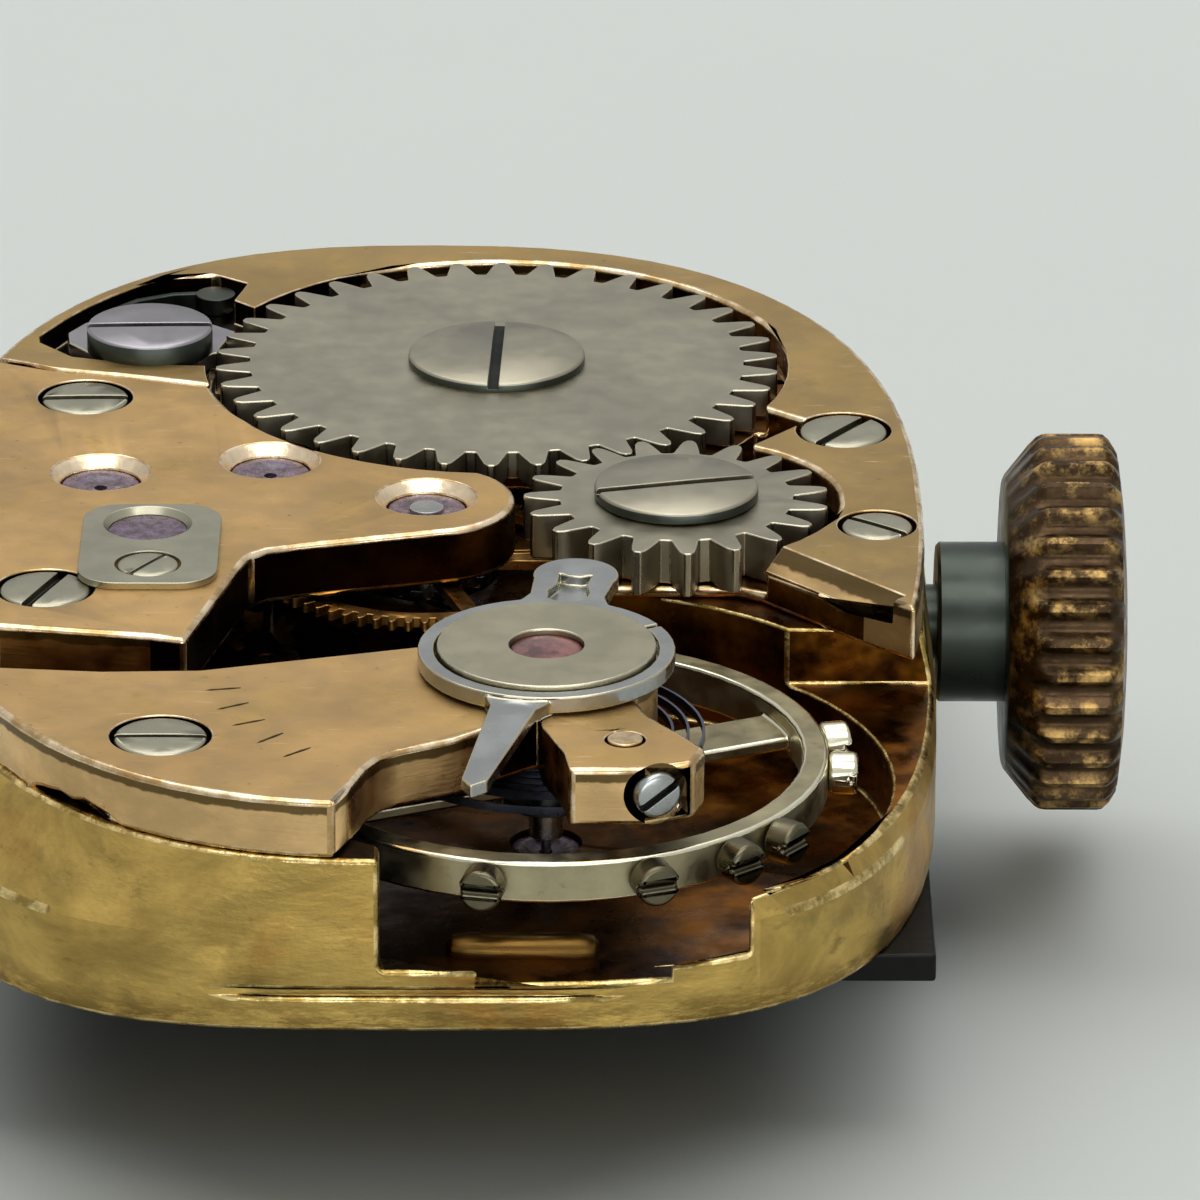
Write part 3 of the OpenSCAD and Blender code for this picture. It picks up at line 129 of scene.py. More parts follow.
class MovementColours(bpy.types.PropertyGroup):
    """Colours of the metals and stones."""

    gilt: tint("Gilt", "Frosted gilding of the bridges", 196, 161, 108)
    # The barrel bridge's gilding is given a darker colour than the other bridges
    darker_gilt: tint("Aged gilt", "Frosted gilding of the barrel bridge, which is duller", 170, 142, 92)
    gilt_edge: tint("Gilt edge", "Polished edge of the bridges", 255, 232, 198)
    gilt_wall: tint("Gilt wall", "Upright outer walls of the bridges", 236, 196, 138)
    # Painted shade: a darker copy of the gilt wall, for the bridges' walls inside the movement
    painted_shade_wall: tint("Bronze wall", "Upright walls of the bridges inside the movement", 190, 134, 70)
    # Painted shade: the gilding inside the movement is given this dark colour
    painted_shade: tint("Cavity", "Darkened gilding inside the movement", 84, 48, 14)
    plate: tint("Plate", "Olive gilding of the main plate", 200, 168, 94)
    plate_edge: tint("Plate edge", "Rubbed edge of the main plate", 240, 214, 150)
    tarnish: tint("Tarnish", "Dark spots in the gilding", 106, 84, 44)
    steel: tint("Steel", "Lapped steel of the winding wheels", 164, 158, 140)
    bright_steel: tint("Bright steel", "Polished steel of screws and regulator", 166, 169, 168)
    cap_steel: tint("Cap steel", "Greenish steel of the cap plate and the screws", 170, 166, 146)
    end_steel: tint("End piece steel", "Warm grey steel of the end piece", 172, 166, 142)
    lilac_steel: tint("Lilac steel", "Stained steel of the click", 160, 156, 162)
    dark_steel: tint("Dark steel", "Arbors, pinions and springs", 70, 76, 70)
    train_brass: tint("Train brass", "Wheels of the going train", 196, 150, 84)
    balance_brass: tint("Balance brass", "Pale alloy of the balance", 176, 166, 134)
    ruby: tint("Ruby", "Synthetic ruby of the jewels", 92, 30, 50)
    blued_steel: tint("Blued steel", "Hairspring", 92, 98, 118)
    crown: tint("Crown", "Worn bronze plating of the crown", 72, 56, 40)
    crown_worn: tint("Worn crown", "Gilding rubbed bright on the crown's ribs", 206, 168, 104)
    dial: tint("Dial", "Black dial", 10, 9, 8)


class StageSettings(bpy.types.PropertyGroup):
    """Camera, light and floor."""

    aim: bpy.props.FloatVectorProperty(
        name="Aim", description="Point that the camera looks at", subtype="XYZ", unit="LENGTH",
        default=(0.00207, -0.00153, 0.0021))
    distance: length("Distance", "Distance from the camera to the point that it looks at", 117.74)
    pitch: tilt("Pitch", "How far the camera looks down", 22.5)
    yaw: tilt("Yaw", "How far the camera looks to the right", 0.3)
    roll: tilt("Roll", "Turn of the camera about its axis", 0.27)
    lens: bpy.props.FloatProperty(name="Lens", description="Focal length in millimetres", default=298.4, min=1)
    floor: tint("Floor", "Pale table top", 224, 230, 227)


def sizes():
    return bpy.context.scene.movement_sizes


def colours():
    return bpy.context.scene.movement_colours


def mm(value):
    """A length property in millimetres."""
    return value / MM


# Materials

def new_node(tree, kind, **values):
    """A new node of that kind, with values on the inputs of these names."""
    node = tree.nodes.new("ShaderNode" + kind)
    for name, value in values.items():
        node.inputs[name.replace("_", " ").title()].default_value = value
    return node


class Finish:
    """Writes the nodes of one material. Its patterns are placed on the piece, with sizes in millimetres."""

    def __init__(self, name, colour, roughness, metallic=1.0):
        self.material = bpy.data.materials.new(name)
        self.material.use_nodes = True
        self.tree = self.material.node_tree
        self.shader = self.tree.nodes["Principled BSDF"]
        self.shader.inputs["Base Color"].default_value = (*colour, 1)
        self.shader.inputs["Roughness"].default_value = roughness
        self.shader.inputs["Metallic"].default_value = metallic
        self.place = self.scaled(new_node(self.tree, "TexCoord").outputs["Object"], (1 / MM,) * 3)

    def join(self, source, target):
        self.tree.links.new(source, target)

    def scaled(self, place, scale):
        mapping = new_node(self.tree, "Mapping", scale=scale)
        self.join(place, mapping.inputs["Vector"])
        return mapping.outputs["Vector"]

    def grain(self, size, detail=3, roughness=0.55, stretch=None, distortion=0.0):
        """Noise whose blotches are about that many millimetres across, times the stretch along each axis."""
        node = new_node(self.tree, "TexNoise", scale=1 / size, detail=detail, roughness=roughness,
                        distortion=distortion)
        place = self.scaled(self.place, [1 / s for s in stretch]) if stretch else self.place
        self.join(place, node.inputs["Vector"])
        return node.outputs["Fac"]

    def span(self, value, low, high, to_low=0.0, to_high=1.0):
        """Value between low and high, spread over to_low and to_high."""
        node = new_node(self.tree, "MapRange", from_min=low, from_max=high, to_min=to_low, to_max=to_high)
        node.interpolation_type = "SMOOTHSTEP"
        self.join(value, node.inputs["Value"])
        return node.outputs["Result"]

    def patches(self, low, high, *grain):
        """Soft patches, from 0 where the grain is low to 1 where it is high."""
        return self.span(self.grain(*grain), low, high)

    def combine(self, operation, first, second):
        """One math step on two values, either of which may be a plain number."""
        node = new_node(self.tree, "Math")
        node.operation = operation
        for index, value in enumerate((first, second)):
            if isinstance(value, (int, float)):
                node.inputs[index].default_value = value
            else:
                self.join(value, node.inputs[index])
        return node.outputs[0]

    def blend(self, share, first, second):
        """A colour between two, each a colour or another node's output."""
        node = new_node(self.tree, "Mix")
        node.data_type = "RGBA"
        self.join(share, node.inputs[0])
        for index, colour in ((6, first), (7, second)):
            if isinstance(colour, bpy.types.NodeSocket):
                self.join(colour, node.inputs[index])
            else:
                node.inputs[index].default_value = (*colour[:3], 1)
        return node.outputs[2]

    def stain(self, tone, patches, share, colour):
        """The tone, with that share of another colour in the patches."""
        return self.blend(self.combine("MULTIPLY", patches, share), tone, colour)

    def height(self, axis):
        """The place on the piece along one axis, in millimetres."""
        node = new_node(self.tree, "SeparateXYZ")
        self.join(self.place, node.inputs[0])
        return node.outputs["XYZ".index(axis)]

    def colour(self, output):
        self.join(output, self.shader.inputs["Base Color"])

    def sheen(self, smooth, rough, size, detail, low=0.3, high=0.7):
        """Roughness from smooth to rough, in blotches of that size."""
        self.join(self.span(self.grain(size, detail), low, high, smooth, rough), self.shader.inputs["Roughness"])

    def bump(self, depth, strength, *grain):
        """Relief of that depth in millimetres, over what relief there is."""
        node = new_node(self.tree, "Bump", strength=strength, distance=depth * MM)
        self.join(self.grain(*grain), node.inputs["Height"])
        normal = self.shader.inputs["Normal"]
        if normal.is_linked:
            self.join(normal.links[0].from_socket, node.inputs["Normal"])
        self.join(node.outputs["Normal"], normal)


def shade(colour, factor):
    """A colour made darker or lighter."""
    return tuple(min(1.0, channel * factor) for channel in colour[:3])


def frosted_gilt(name, colour):
    """Gilding with a frosted ground, olive clouds, stains, small dark specks and pale scratches."""
    c = colours()
    finish = Finish(name, colour, 0.46)
    tone = finish.blend(finish.patches(0.3, 0.7, 2.2, 4), shade(colour, 0.8), shade(colour, 1.08))
    tone = finish.stain(tone, finish.patches(0.48, 0.72, 1.4, 5, 0.65), 0.5, shade(c.plate, 0.8))
    tone = finish.stain(tone, finish.patches(0.66, 0.76, 0.14, 3), 0.5, c.tarnish)
    tone = finish.stain(tone, finish.patches(0.58, 0.8, 0.7, 6, 0.75), 0.5, shade(c.tarnish, 1.2))
    scratches = finish.patches(0.64, 0.72, 0.05, 3, 0.6, (14, 1.2, 1))
    finish.colour(finish.stain(tone, scratches, 0.35, shade(c.gilt_edge, 0.9)))
    finish.sheen(0.4, 0.56, 0.5, 4, 0.25, 0.75)
    finish.bump(0.004, 0.5, 0.035, 2)
    finish.bump(0.012, 0.35, 0.3, 3)
    return finish.material


def gilt_wall(name, colour):
    """Upright walls of the bridges, with lines of the tool that cut them, and painted shade under the top edge and at
    the foot.
    """
    finish = Finish(name, colour, 0.34)
    tone = finish.blend(finish.patches(0.35, 0.7, 1.1, 5, 0.62, (1, 1, 0.5)), shade(colour, 0.7), colour)
    # Painted shade in ragged bands under the top edge and at the foot
    ragged_shade_height = finish.combine("ADD", finish.height("Z"), finish.combine("MULTIPLY", finish.grain(0.25, 4), 0.1))
    dull = finish.combine("MAXIMUM", finish.span(ragged_shade_height, 2.67, 2.7), finish.span(ragged_shade_height, 2.2, 2.17))
    finish.colour(finish.stain(tone, dull, 0.85, srgb(74, 58, 26)))
    finish.sheen(0.26, 0.44, 0.4, 4)
    finish.bump(0.006, 0.5, 0.06, 3, 0.5, (6, 6, 0.5))
    return finish.material


def painted_shade_gilt():
    """Painted shade on the gilding inside the movement, in patches and deepest to the left, with patches of warm
    painted light, more of them to the right.
    """
    c = colours()
    finish = Finish("painted_shade_gilt", c.painted_shade, 0.3)
    tone = finish.blend(finish.patches(0.38, 0.62, 1.1, 5, 0.65), shade(c.painted_shade, 0.2), c.painted_shade)
    # Painted shade, deepest to the left under the train bridge
    tone = finish.blend(finish.span(finish.height("X"), -1.5, 1.5), shade(c.painted_shade, 0.12), tone)
    # Patches of warm painted light, more of them to the right
    right = finish.span(finish.height("X"), -0.5, 4.2)
    painted_glow = finish.combine("MULTIPLY", finish.patches(0.4, 0.68, 1.3, 4, 0.6), right)
    finish.colour(finish.stain(tone, painted_glow, 0.7, srgb(176, 112, 34)))
    finish.sheen(0.2, 0.5, 0.5, 4)
    finish.bump(0.012, 0.5, 0.2, 4)
    return finish.material


def plate_gilt():
    """Olive gilding of the main plate, blotched with tarnish, rubbed in patches."""
    c = colours()
    finish = Finish("plate_gilt", c.plate, 0.42)
    clouds = finish.patches(0.36, 0.64, 1.9, 6, 0.64, (1, 1, 0.8), 0.6)
    tone = finish.blend(clouds, shade(c.plate, 0.62), shade(c.plate, 1.1))
    tone = finish.stain(tone, finish.patches(0.5, 0.66, 2.4, 4), 0.7, srgb(184, 134, 66))
    tone = finish.stain(tone, finish.patches(0.54, 0.7, 1.2, 6, 0.7), 0.55, srgb(126, 118, 72))
    # Patches darker towards the bottom of the plate
    low = finish.span(finish.height("Z"), 0.5, 0.0)
    low_patches = finish.combine("MULTIPLY", low, finish.patches(0.42, 0.56, 0.5, 6, 0.75, (2, 2, 0.5)))
    tone = finish.stain(tone, low_patches, 0.8, c.tarnish)
    spots = finish.patches(0.56, 0.72, 0.3, 6, 0.74, (1.6, 1.6, 0.7))
    finish.colour(finish.stain(tone, spots, 0.5, c.tarnish))
    finish.sheen(0.32, 0.52, 0.7, 5)
    finish.bump(0.006, 0.5, 0.06, 3)
    finish.bump(0.04, 0.6, 0.5, 5, 0.6, (1.8, 1.8, 0.6))
    return finish.material


def two_toned(name, roughness, dull, bright, patches, sheen, relief, ior=0.0):
    """Polished metal that is rubbed bright in patches, or with an ior a clear stone."""
    finish = Finish(name, bright, roughness, 0.0 if ior else 1.0)
    if ior:
        finish.shader.inputs["IOR"].default_value = ior
    finish.colour(finish.blend(finish.patches(*patches), dull, bright))
    finish.sheen(*sheen)
    finish.bump(*relief)
    return finish.material


def steel(name, colour, roughness, mottle):
    """Steel with faint clouds, soft stains and fine scratches."""
    finish = Finish(name, colour, roughness)
    clouds = finish.patches(0.3, 0.7, 1.6, 4, 0.5)
    tone = finish.blend(clouds, shade(colour, 1 - mottle), shade(colour, 1 + mottle))
    finish.colour(finish.stain(tone, finish.patches(0.52, 0.82, 0.5, 5, 0.6), 0.25, shade(colour, 0.55)))
    finish.sheen(roughness - 0.05, roughness + 0.08, 0.4, 4)
    finish.bump(0.002, 0.25, 0.05, 2, 0.5, (9, 1, 1))
    finish.bump(0.005, 0.25, 0.35, 3)
    return finish.material


def brass(name, colour, roughness=0.3):
    """Turned brass, a little darkened."""
    finish = Finish(name, colour, roughness)
    tone = finish.blend(finish.patches(0.3, 0.7, 0.9, 5, 0.6), shade(colour, 0.72), shade(colour, 1.08))
    finish.colour(finish.stain(tone, finish.patches(0.6, 0.74, 0.2, 4, 0.7), 0.4, shade(colour, 0.4)))
    finish.sheen(roughness - 0.06, roughness + 0.12, 0.3, 4)
    finish.bump(0.006, 0.35, 0.1, 3)
    return finish.material


def crown_bronze():
    """Dark bronze plating, rubbed through to gilding on the high places."""
    c = colours()
    finish = Finish("crown_bronze", c.crown, 0.38)
    tone = finish.blend(finish.patches(0.3, 0.7, 0.7, 5, 0.6), shade(c.crown, 0.5), shade(c.crown, 1.25))
    standing = new_node(finish.tree, "Attribute")
    standing.attribute_name = RIB_SHARE
    rubbed = finish.combine("MULTIPLY", standing.outputs["Fac"], finish.patches(0.46, 0.68, 0.4, 5, 0.7))
    finish.colour(finish.blend(rubbed, tone, c.crown_worn))
    finish.sheen(0.28, 0.5, 0.2, 4)
    finish.bump(0.014, 0.6, 0.09, 4)
    return finish.material


def dial_black():
    """Black lacquered plate with dust and fine scratches."""
    c = colours()
    finish = Finish("dial_black", c.dial, 0.42, 0.0)
    finish.shader.inputs["Specular IOR Level"].default_value = 0.2
    finish.colour(finish.stain(c.dial, finish.patches(0.55, 0.75, 0.12, 5, 0.7), 0.5, shade(c.dial, 4)))
    finish.sheen(0.32, 0.6, 0.4, 4)
    finish.bump(0.01, 0.4, 0.15, 4)
    return finish.material


def table_top():
    """Smooth pale sheet with the faintest tone in it."""
    colour = bpy.context.scene.movement_stage.floor
    finish = Finish("table_top", colour, 0.6, 0.0)
    finish.colour(finish.blend(finish.grain(14, 3), shade(colour, 0.97), shade(colour, 1.02)))
    finish.bump(0.004, 0.2, 0.2, 2)
    return finish.material


def make_finishes():
    """Every material of the movement, by name."""
    c = colours()
    return {
        "gilt": frosted_gilt("frosted_gilt", c.gilt),
        "darker_gilt": frosted_gilt("darker_gilt", c.darker_gilt),
        "tarnish": brass("dark_strokes", shade(c.tarnish, 0.3), 0.5),
        "gilt_edge": two_toned("gilt_edge", 0.24, shade(c.gilt, 0.9), c.gilt_edge, (0.35, 0.68, 0.45, 4, 0.65),
                               (0.16, 0.36, 0.3, 3), (0.006, 0.5, 0.12, 3)),
        "gilt_wall": gilt_wall("gilt_wall", c.gilt_wall),
        "painted_shade_wall": gilt_wall("painted_shade_wall", c.painted_shade_wall),
        "polished_gilt": two_toned("polished_gilt", 0.3, shade(c.gilt_edge, 0.82), c.gilt_edge,
                                   (0.35, 0.7, 0.2, 4, 0.6), (0.2, 0.4, 0.12, 3), (0.008, 0.6, 0.1, 3)),
        "painted_shade": painted_shade_gilt(),
        "plate": plate_gilt(),
        "plate_edge": two_toned("plate_edge", 0.28, shade(c.plate, 0.6), c.plate_edge, (0.4, 0.62, 0.4, 5, 0.7),
                                (0.2, 0.42, 0.3, 3), (0.02, 0.8, 0.14, 4)),
        "steel": steel("lapped_steel", c.steel, 0.36, 0.1),
        "steel_edge": steel("steel_edge", shade(c.steel, 1.35), 0.22, 0.08),
        "bright_steel": steel("bright_steel", c.bright_steel, 0.26, 0.08),
        "cap_steel": steel("cap_steel", c.cap_steel, 0.3, 0.06),
        "end_steel": steel("end_steel", c.end_steel, 0.34, 0.05),
        "lilac_steel": steel("lilac_steel", c.lilac_steel, 0.34, 0.08),
        "dark_steel": steel("dark_steel", c.dark_steel, 0.32, 0.25),
        # Painted shade for the floors of the screws' slots
        "slot": steel("painted_slot_shade", shade(c.dark_steel, 0.25), 0.55, 0.3),
        "balance_edge": steel("balance_edge", srgb(232, 226, 200), 0.2, 0.1),
        "train_brass": brass("train_brass", c.train_brass),
        "dark_brass": brass("dark_brass", shade(c.balance_brass, 0.35)),
        "balance_brass": brass("balance_brass", c.balance_brass, 0.36),
        "ruby": two_toned("ruby_stone", 0.2, shade(c.ruby, 0.25), srgb(112, 84, 118), (0.38, 0.62, 0.14, 5, 0.75),
                          (0.16, 0.5, 0.08, 3), (0.01, 0.6, 0.06, 3, 0.7), RUBY_IOR),
        "end_stone": two_toned("end_stone_ruby", 0.12, shade(c.ruby, 0.8), srgb(158, 92, 84),
                               (0.35, 0.65, 0.3, 4, 0.6), (0.08, 0.22, 0.12, 3), (0.006, 0.4, 0.15, 3), RUBY_IOR),
        "blued_steel": steel("blued_steel", c.blued_steel, 0.3, 0.2),
        "crown": crown_bronze(),
        "dial": dial_black(),
    }


FINISHES = {}


def finish_named(name):
    """A material of the movement, all of which are made on first use."""
    if not FINISHES:
        FINISHES.update(make_finishes())
    return FINISHES[name]


# Shaping, in millimetres

def node_mesh(node):
    """A CAD node's mesh in millimetres, with its split corners joined and its flat faces whole."""
    shape = bmesh.new()
    shape.from_mesh(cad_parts[node].data)
    bmesh.ops.scale(shape, vec=(1 / MM,) * 3, verts=shape.verts)
    bmesh.ops.remove_doubles(shape, verts=shape.verts, dist=0.0005)
    bmesh.ops.dissolve_limit(
        shape, angle_limit=math.radians(0.5), verts=shape.verts, edges=shape.edges)
    bmesh.ops.recalc_face_normals(shape, faces=shape.faces)
    return shape


class Spot:
    """Where one solid of a CAD node lies, in millimetres."""

    def __init__(self, points):
        self.low = Vector([min(p[i] for p in points) for i in range(3)])
        self.high = Vector([max(p[i] for p in points) for i in range(3)])
        self.middle = (self.low + self.high) / 2
        self.axis = Matrix.Translation((self.middle.x, self.middle.y, 0))
        self.radius = (self.high.x - self.low.x) / 2
        self.top = self.high.z
        self.bottom = self.low.z
        reach = [(math.hypot(p[0] - self.middle.x, p[1] - self.middle.y), p[2]) for p in points]
        self.hole = min(r for r, z in reach)
        self.shank = max(r for r, z in reach if z < self.bottom + 0.01)
        self.head = self.top - min(z for r, z in reach if r > self.radius * 0.9)


def solids_of(node):
    """The spots of a CAD node's separate solids, from left to right, then from front to back."""
    shape = node_mesh(node)
    left, spots = set(shape.verts), []
    while left:
        group, queue = [], [left.pop()]
        while queue:
            vertex = queue.pop()
            group.append(vertex.co.copy())
            for edge in vertex.link_edges:
                other = edge.other_vert(vertex)
                if other in left:
                    left.remove(other)
                    queue.append(other)
        spots.append(Spot(group))
    shape.free()
    return sorted(spots, key=lambda spot: tuple(spot.middle))


def lathe(profile, steps=64):
    """A solid turned about Z from points of radius and height.

    The points start and end on the axis, or close on themselves.
    """
    shape = bmesh.new()
    rings = []
    for radius, z in profile:
        if radius < 1e-6:
            rings.append([shape.verts.new((0, 0, z))])
        else:
            rings.append([shape.verts.new((radius * math.cos(a), radius * math.sin(a), z))
                          for a in (2 * math.pi * i / steps for i in range(steps))])
    for first, second in zip(rings, rings[1:]):
        for i in range(steps if len(first) + len(second) > 2 else 0):
            j = (i + 1) % steps
            if len(first) == 1:
                shape.faces.new((first[0], second[j], second[i]))
            elif len(second) == 1:
                shape.faces.new((first[i], first[j], second[0]))
            else:
                shape.faces.new((first[i], first[j], second[j], second[i]))
    if len(rings[0]) > 1 and profile[0] == profile[-1]:
        bmesh.ops.remove_doubles(shape, verts=shape.verts, dist=1e-5)
    bmesh.ops.recalc_face_normals(shape, faces=shape.faces)
    return shape


def block(size, place):
    """A box of that size about a place."""
    shape = bmesh.new()
    bmesh.ops.create_cube(shape, size=1)
    bmesh.ops.scale(shape, vec=size, verts=shape.verts)
    bmesh.ops.translate(shape, vec=place, verts=shape.verts)
    return shape


def swept(sections):
    """A solid through a row of sections, each of four points."""
    shape, before = bmesh.new(), None
    for section in sections:
        ring = [shape.verts.new(point) for point in section]
        if before:
            for i in range(4):
                shape.faces.new((before[i], before[(i + 1) % 4], ring[(i + 1) % 4], ring[i]))
        else:
            shape.faces.new(ring)
        before = ring
    shape.faces.new(before)
    bmesh.ops.recalc_face_normals(shape, faces=shape.faces)
    return shape


def placed(shape, matrix):
    shape.transform(matrix)
    return shape


def turned(degrees, axis):
    return Matrix.Rotation(math.radians(degrees), 4, axis)


def along(way):
    return Matrix.Rotation(math.atan2(way.y, way.x), 4, "Z")


def linked(name, data):
    """An object in the scene with that data."""
    thing = bpy.data.objects.new(name, data)
    bpy.context.scene.collection.objects.link(thing)
    return thing


def as_object(name, shape):
    """An object in the scene with a shape's mesh, still in millimetres."""
    mesh = bpy.data.meshes.new(name)
    shape.to_mesh(mesh)
    shape.free()
    return linked(name, mesh)


def settle(piece):
    """Replaces a piece's mesh by what its modifiers make of it."""
    graph = bpy.context.evaluated_depsgraph_get()
    mesh = bpy.data.meshes.new_from_object(
        piece.evaluated_get(graph), preserve_all_data_layers=True, depsgraph=graph)
    piece.modifiers.clear()
    piece.data = mesh


def cut(shape, cutter):
    """The shape with the cutter's space taken out of it."""
    body, tool = as_object("cut_body", shape), as_object("cut_tool", cutter)
    carve = body.modifiers.new("carve", "BOOLEAN")
    carve.operation = "DIFFERENCE"
    carve.solver = "EXACT"
    carve.object = tool
    settle(body)
    result = bmesh.new()
    result.from_mesh(body.data)
    for piece in (body, tool):
        bpy.data.objects.remove(piece)
    bmesh.ops.remove_doubles(result, verts=result.verts, dist=1e-5)
    bmesh.ops.dissolve_limit(result, angle_limit=math.radians(0.5), verts=result.verts, edges=result.edges)
    return result


def joined(shapes):
    """Several shapes as one mesh of separate solids."""
    whole = bmesh.new()
    for shape in shapes:
        mesh = bpy.data.meshes.new("part")
        shape.to_mesh(mesh)
        shape.free()
        whole.from_mesh(mesh)
        bpy.data.meshes.remove(mesh)
    return whole


def paint(shape, index, test):
    """Gives the faces for which test holds another of the piece's materials."""
    for face in shape.faces:
        if test(face):
            face.material_index = index


def make_piece(name, shape, body, finishes, stands_for=(), edge=0.0, edge_finish=None, edge_steps=2,
               sharp=SHARP):
    """A finished piece in metres: bevelled, smooth shaded up to the sharp angle, and riding on its body."""
    piece = as_object(name, shape)
    for finish in finishes:
        piece.data.materials.append(finish_named(finish))
    if edge_finish:
        piece.data.materials.append(finish_named(edge_finish))
    piece.data.shade_smooth()
    piece.data.set_sharp_from_angle(angle=math.radians(sharp))
    if edge:
        bevel = piece.modifiers.new("edges", "BEVEL")
        bevel.width = edge
        bevel.segments = edge_steps
        bevel.limit_method = "ANGLE"
        bevel.angle_limit = math.radians(sharp)
        bevel.use_clamp_overlap = False
        bevel.miter_outer = "MITER_ARC"
        bevel.harden_normals = True
        if EDGE_SHARE in piece.data.attributes:
            bevel.limit_method = "WEIGHT"
        if edge_finish:
            bevel.material = len(finishes)
    settle(piece)
    piece.data.transform(Matrix.Scale(MM, 4))
    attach(piece, body)
    if stands_for:
        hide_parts(*stands_for)
    return piece


def dress(node, body, slot, finishes=(), edge=0.02, edge_finish=None, cutter=None, prepare=None):
    """A CAD node's own shape with fine bevels, after any cut and preparation.

    Where no finishes are given, it gets the one that has the slot's name.
    """
    shape = node_mesh(node)
    if cutter:
        shape = cut(shape, cutter)
    if prepare:
        prepare(shape)
    return make_piece(node + "_finished", shape, body, finishes or [slot], (node,), edge, edge_finish)


def slotted_screw(spot, slot_angle, slot_width, slot_depth):
    """A screw where a spot lies: shank, head with a chamfer and a low crown, and a slot across it."""
    r, top, under, crown = spot.radius, spot.top, spot.top - spot.head, 0.006
    chamfer = min(0.035, spot.head / 3)
    profile = [(0, spot.bottom), (spot.shank, spot.bottom), (spot.shank, under), (r - 0.01, under),
               (r, under + 0.01), (r, top - crown - chamfer), (r - chamfer * 0.35, top - crown - chamfer * 0.4),
               (r - chamfer, top - crown)]
    profile += [((r - chamfer) * (1 - k / 5), top - crown * (1 - k / 5) ** 2) for k in range(1, 5)]
    profile.append((0, top))
    shape = placed(lathe(profile, 56), spot.axis)
    cutter = block((2 * r + 0.4, slot_width, 2 * slot_depth), (0, 0, 0))
    turn = Matrix.Translation((spot.middle.x, spot.middle.y, top)) @ turned(slot_angle, "Z")
    shape = cut(shape, placed(cutter, turn))
    floor = top - slot_depth
    # The slot's floor (1) gets painted shade, and the head's sides (2) the row's side finish, mostly dark steel as
    # painted shade
    paint(shape, 1, lambda face: face.calc_center_median().z < floor + 0.002 and face.normal.z > 0.9)
    paint(shape, 2, lambda face: abs(face.normal.z) < 0.3 and face.calc_center_median().z < top - crown - chamfer)
    return shape


def pierced_stone(spot):
    """A stone with a rounded rim and an oil cup round its hole."""
    r, top, hole = spot.radius, spot.top, spot.hole
    cup = 0.62 * r
    profile = [(hole, spot.bottom), (r, spot.bottom), (r, top - 0.05), (r - 0.015, top - 0.015), (r - 0.05, top),
               (cup, top), (cup * 0.85, top - 0.02), (cup * 0.6, top - 0.045), (hole, top - 0.055),
               (hole, spot.bottom)]
    return placed(lathe(profile, 48), spot.axis)


def open_walls(shape):
    """The upright faces that nothing of the same shape stands in front of, by number."""
    shape.normal_update()
    shape.faces.index_update()
    tree, walls = BVHTree.FromBMesh(shape), set()
    for face in shape.faces:
        if abs(face.normal.z) < UPRIGHT:
            start = face.calc_center_median() + face.normal * 0.01
            if tree.ray_cast(start, face.normal, 40)[0] is None:
                walls.add(face.index)
    return walls


def share_edges(shape, share):
    """Gives each sharp edge its share of the bevel's width, and the others none."""
    weight = shape.edges.layers.float.new(EDGE_SHARE)
    for edge in shape.edges:
        sharp = len(edge.link_faces) == 2 and edge.calc_face_angle() > math.radians(SHARP)
        edge[weight] = share(edge) if sharp else 0.0


def tone_plate(shape):
    """Leaves the outside of the plate olive (0) and gives the inside painted shade (1)."""
    walls, half_width, half_length, middle_y = open_walls(shape), 5.3, 8.2, -0.25
    floor = max(vertex.co.z for vertex in shape.verts) - 0.4

    def is_inside(face):
        place = face.calc_center_median()
        well_inside = (abs(place.x) / half_width) ** 4 + (abs(place.y - middle_y) / half_length) ** 4 < 0.8
        if abs(face.normal.z) < UPRIGHT:
            return face.index not in walls or well_inside or (face.normal.y < -0.7 and place.y > -6)
        return face.normal.z > 0 and (place.z < floor or well_inside)

    def share(edge):
        if not all(face.material_index for face in edge.link_faces):
            return 1.0
        return 0.6 if edge.verts[0].co.x > 3 else 0.0

    paint(shape, 1, is_inside)
    share_edges(shape, share)


def tone_bridge(shape, is_outside, shaded_wall_to=math.inf, stones=()):
    """Frosted top (0), outer walls (1), inner walls in painted shade up to a place along X (2), what lies lower and
    the inner walls past that place in deeper painted shade (3), sinks (4).
    """
    walls = open_walls(shape)
    share_edges(shape, lambda edge: 1.0 if any(face.index in walls for face in edge.link_faces) else 0.25)
    top = max(vertex.co.z for vertex in shape.verts)
    for face in shape.faces:
        place, upright = face.calc_center_median(), abs(face.normal.z) < UPRIGHT
        sink = any((place - stone.middle).xy.length < SINK_REACH for stone in stones)
        if sink and top - 0.2 < place.z < top - 0.005:
            face.material_index = 4
        elif upright and face.index in walls:
            inner = 2 if place.x <= shaded_wall_to else 3
            face.material_index = 1 if is_outside(place, face.normal) else inner
        elif upright or face.normal.z < 0 or place.z < top - 0.12:
            face.material_index = 3


# Pieces

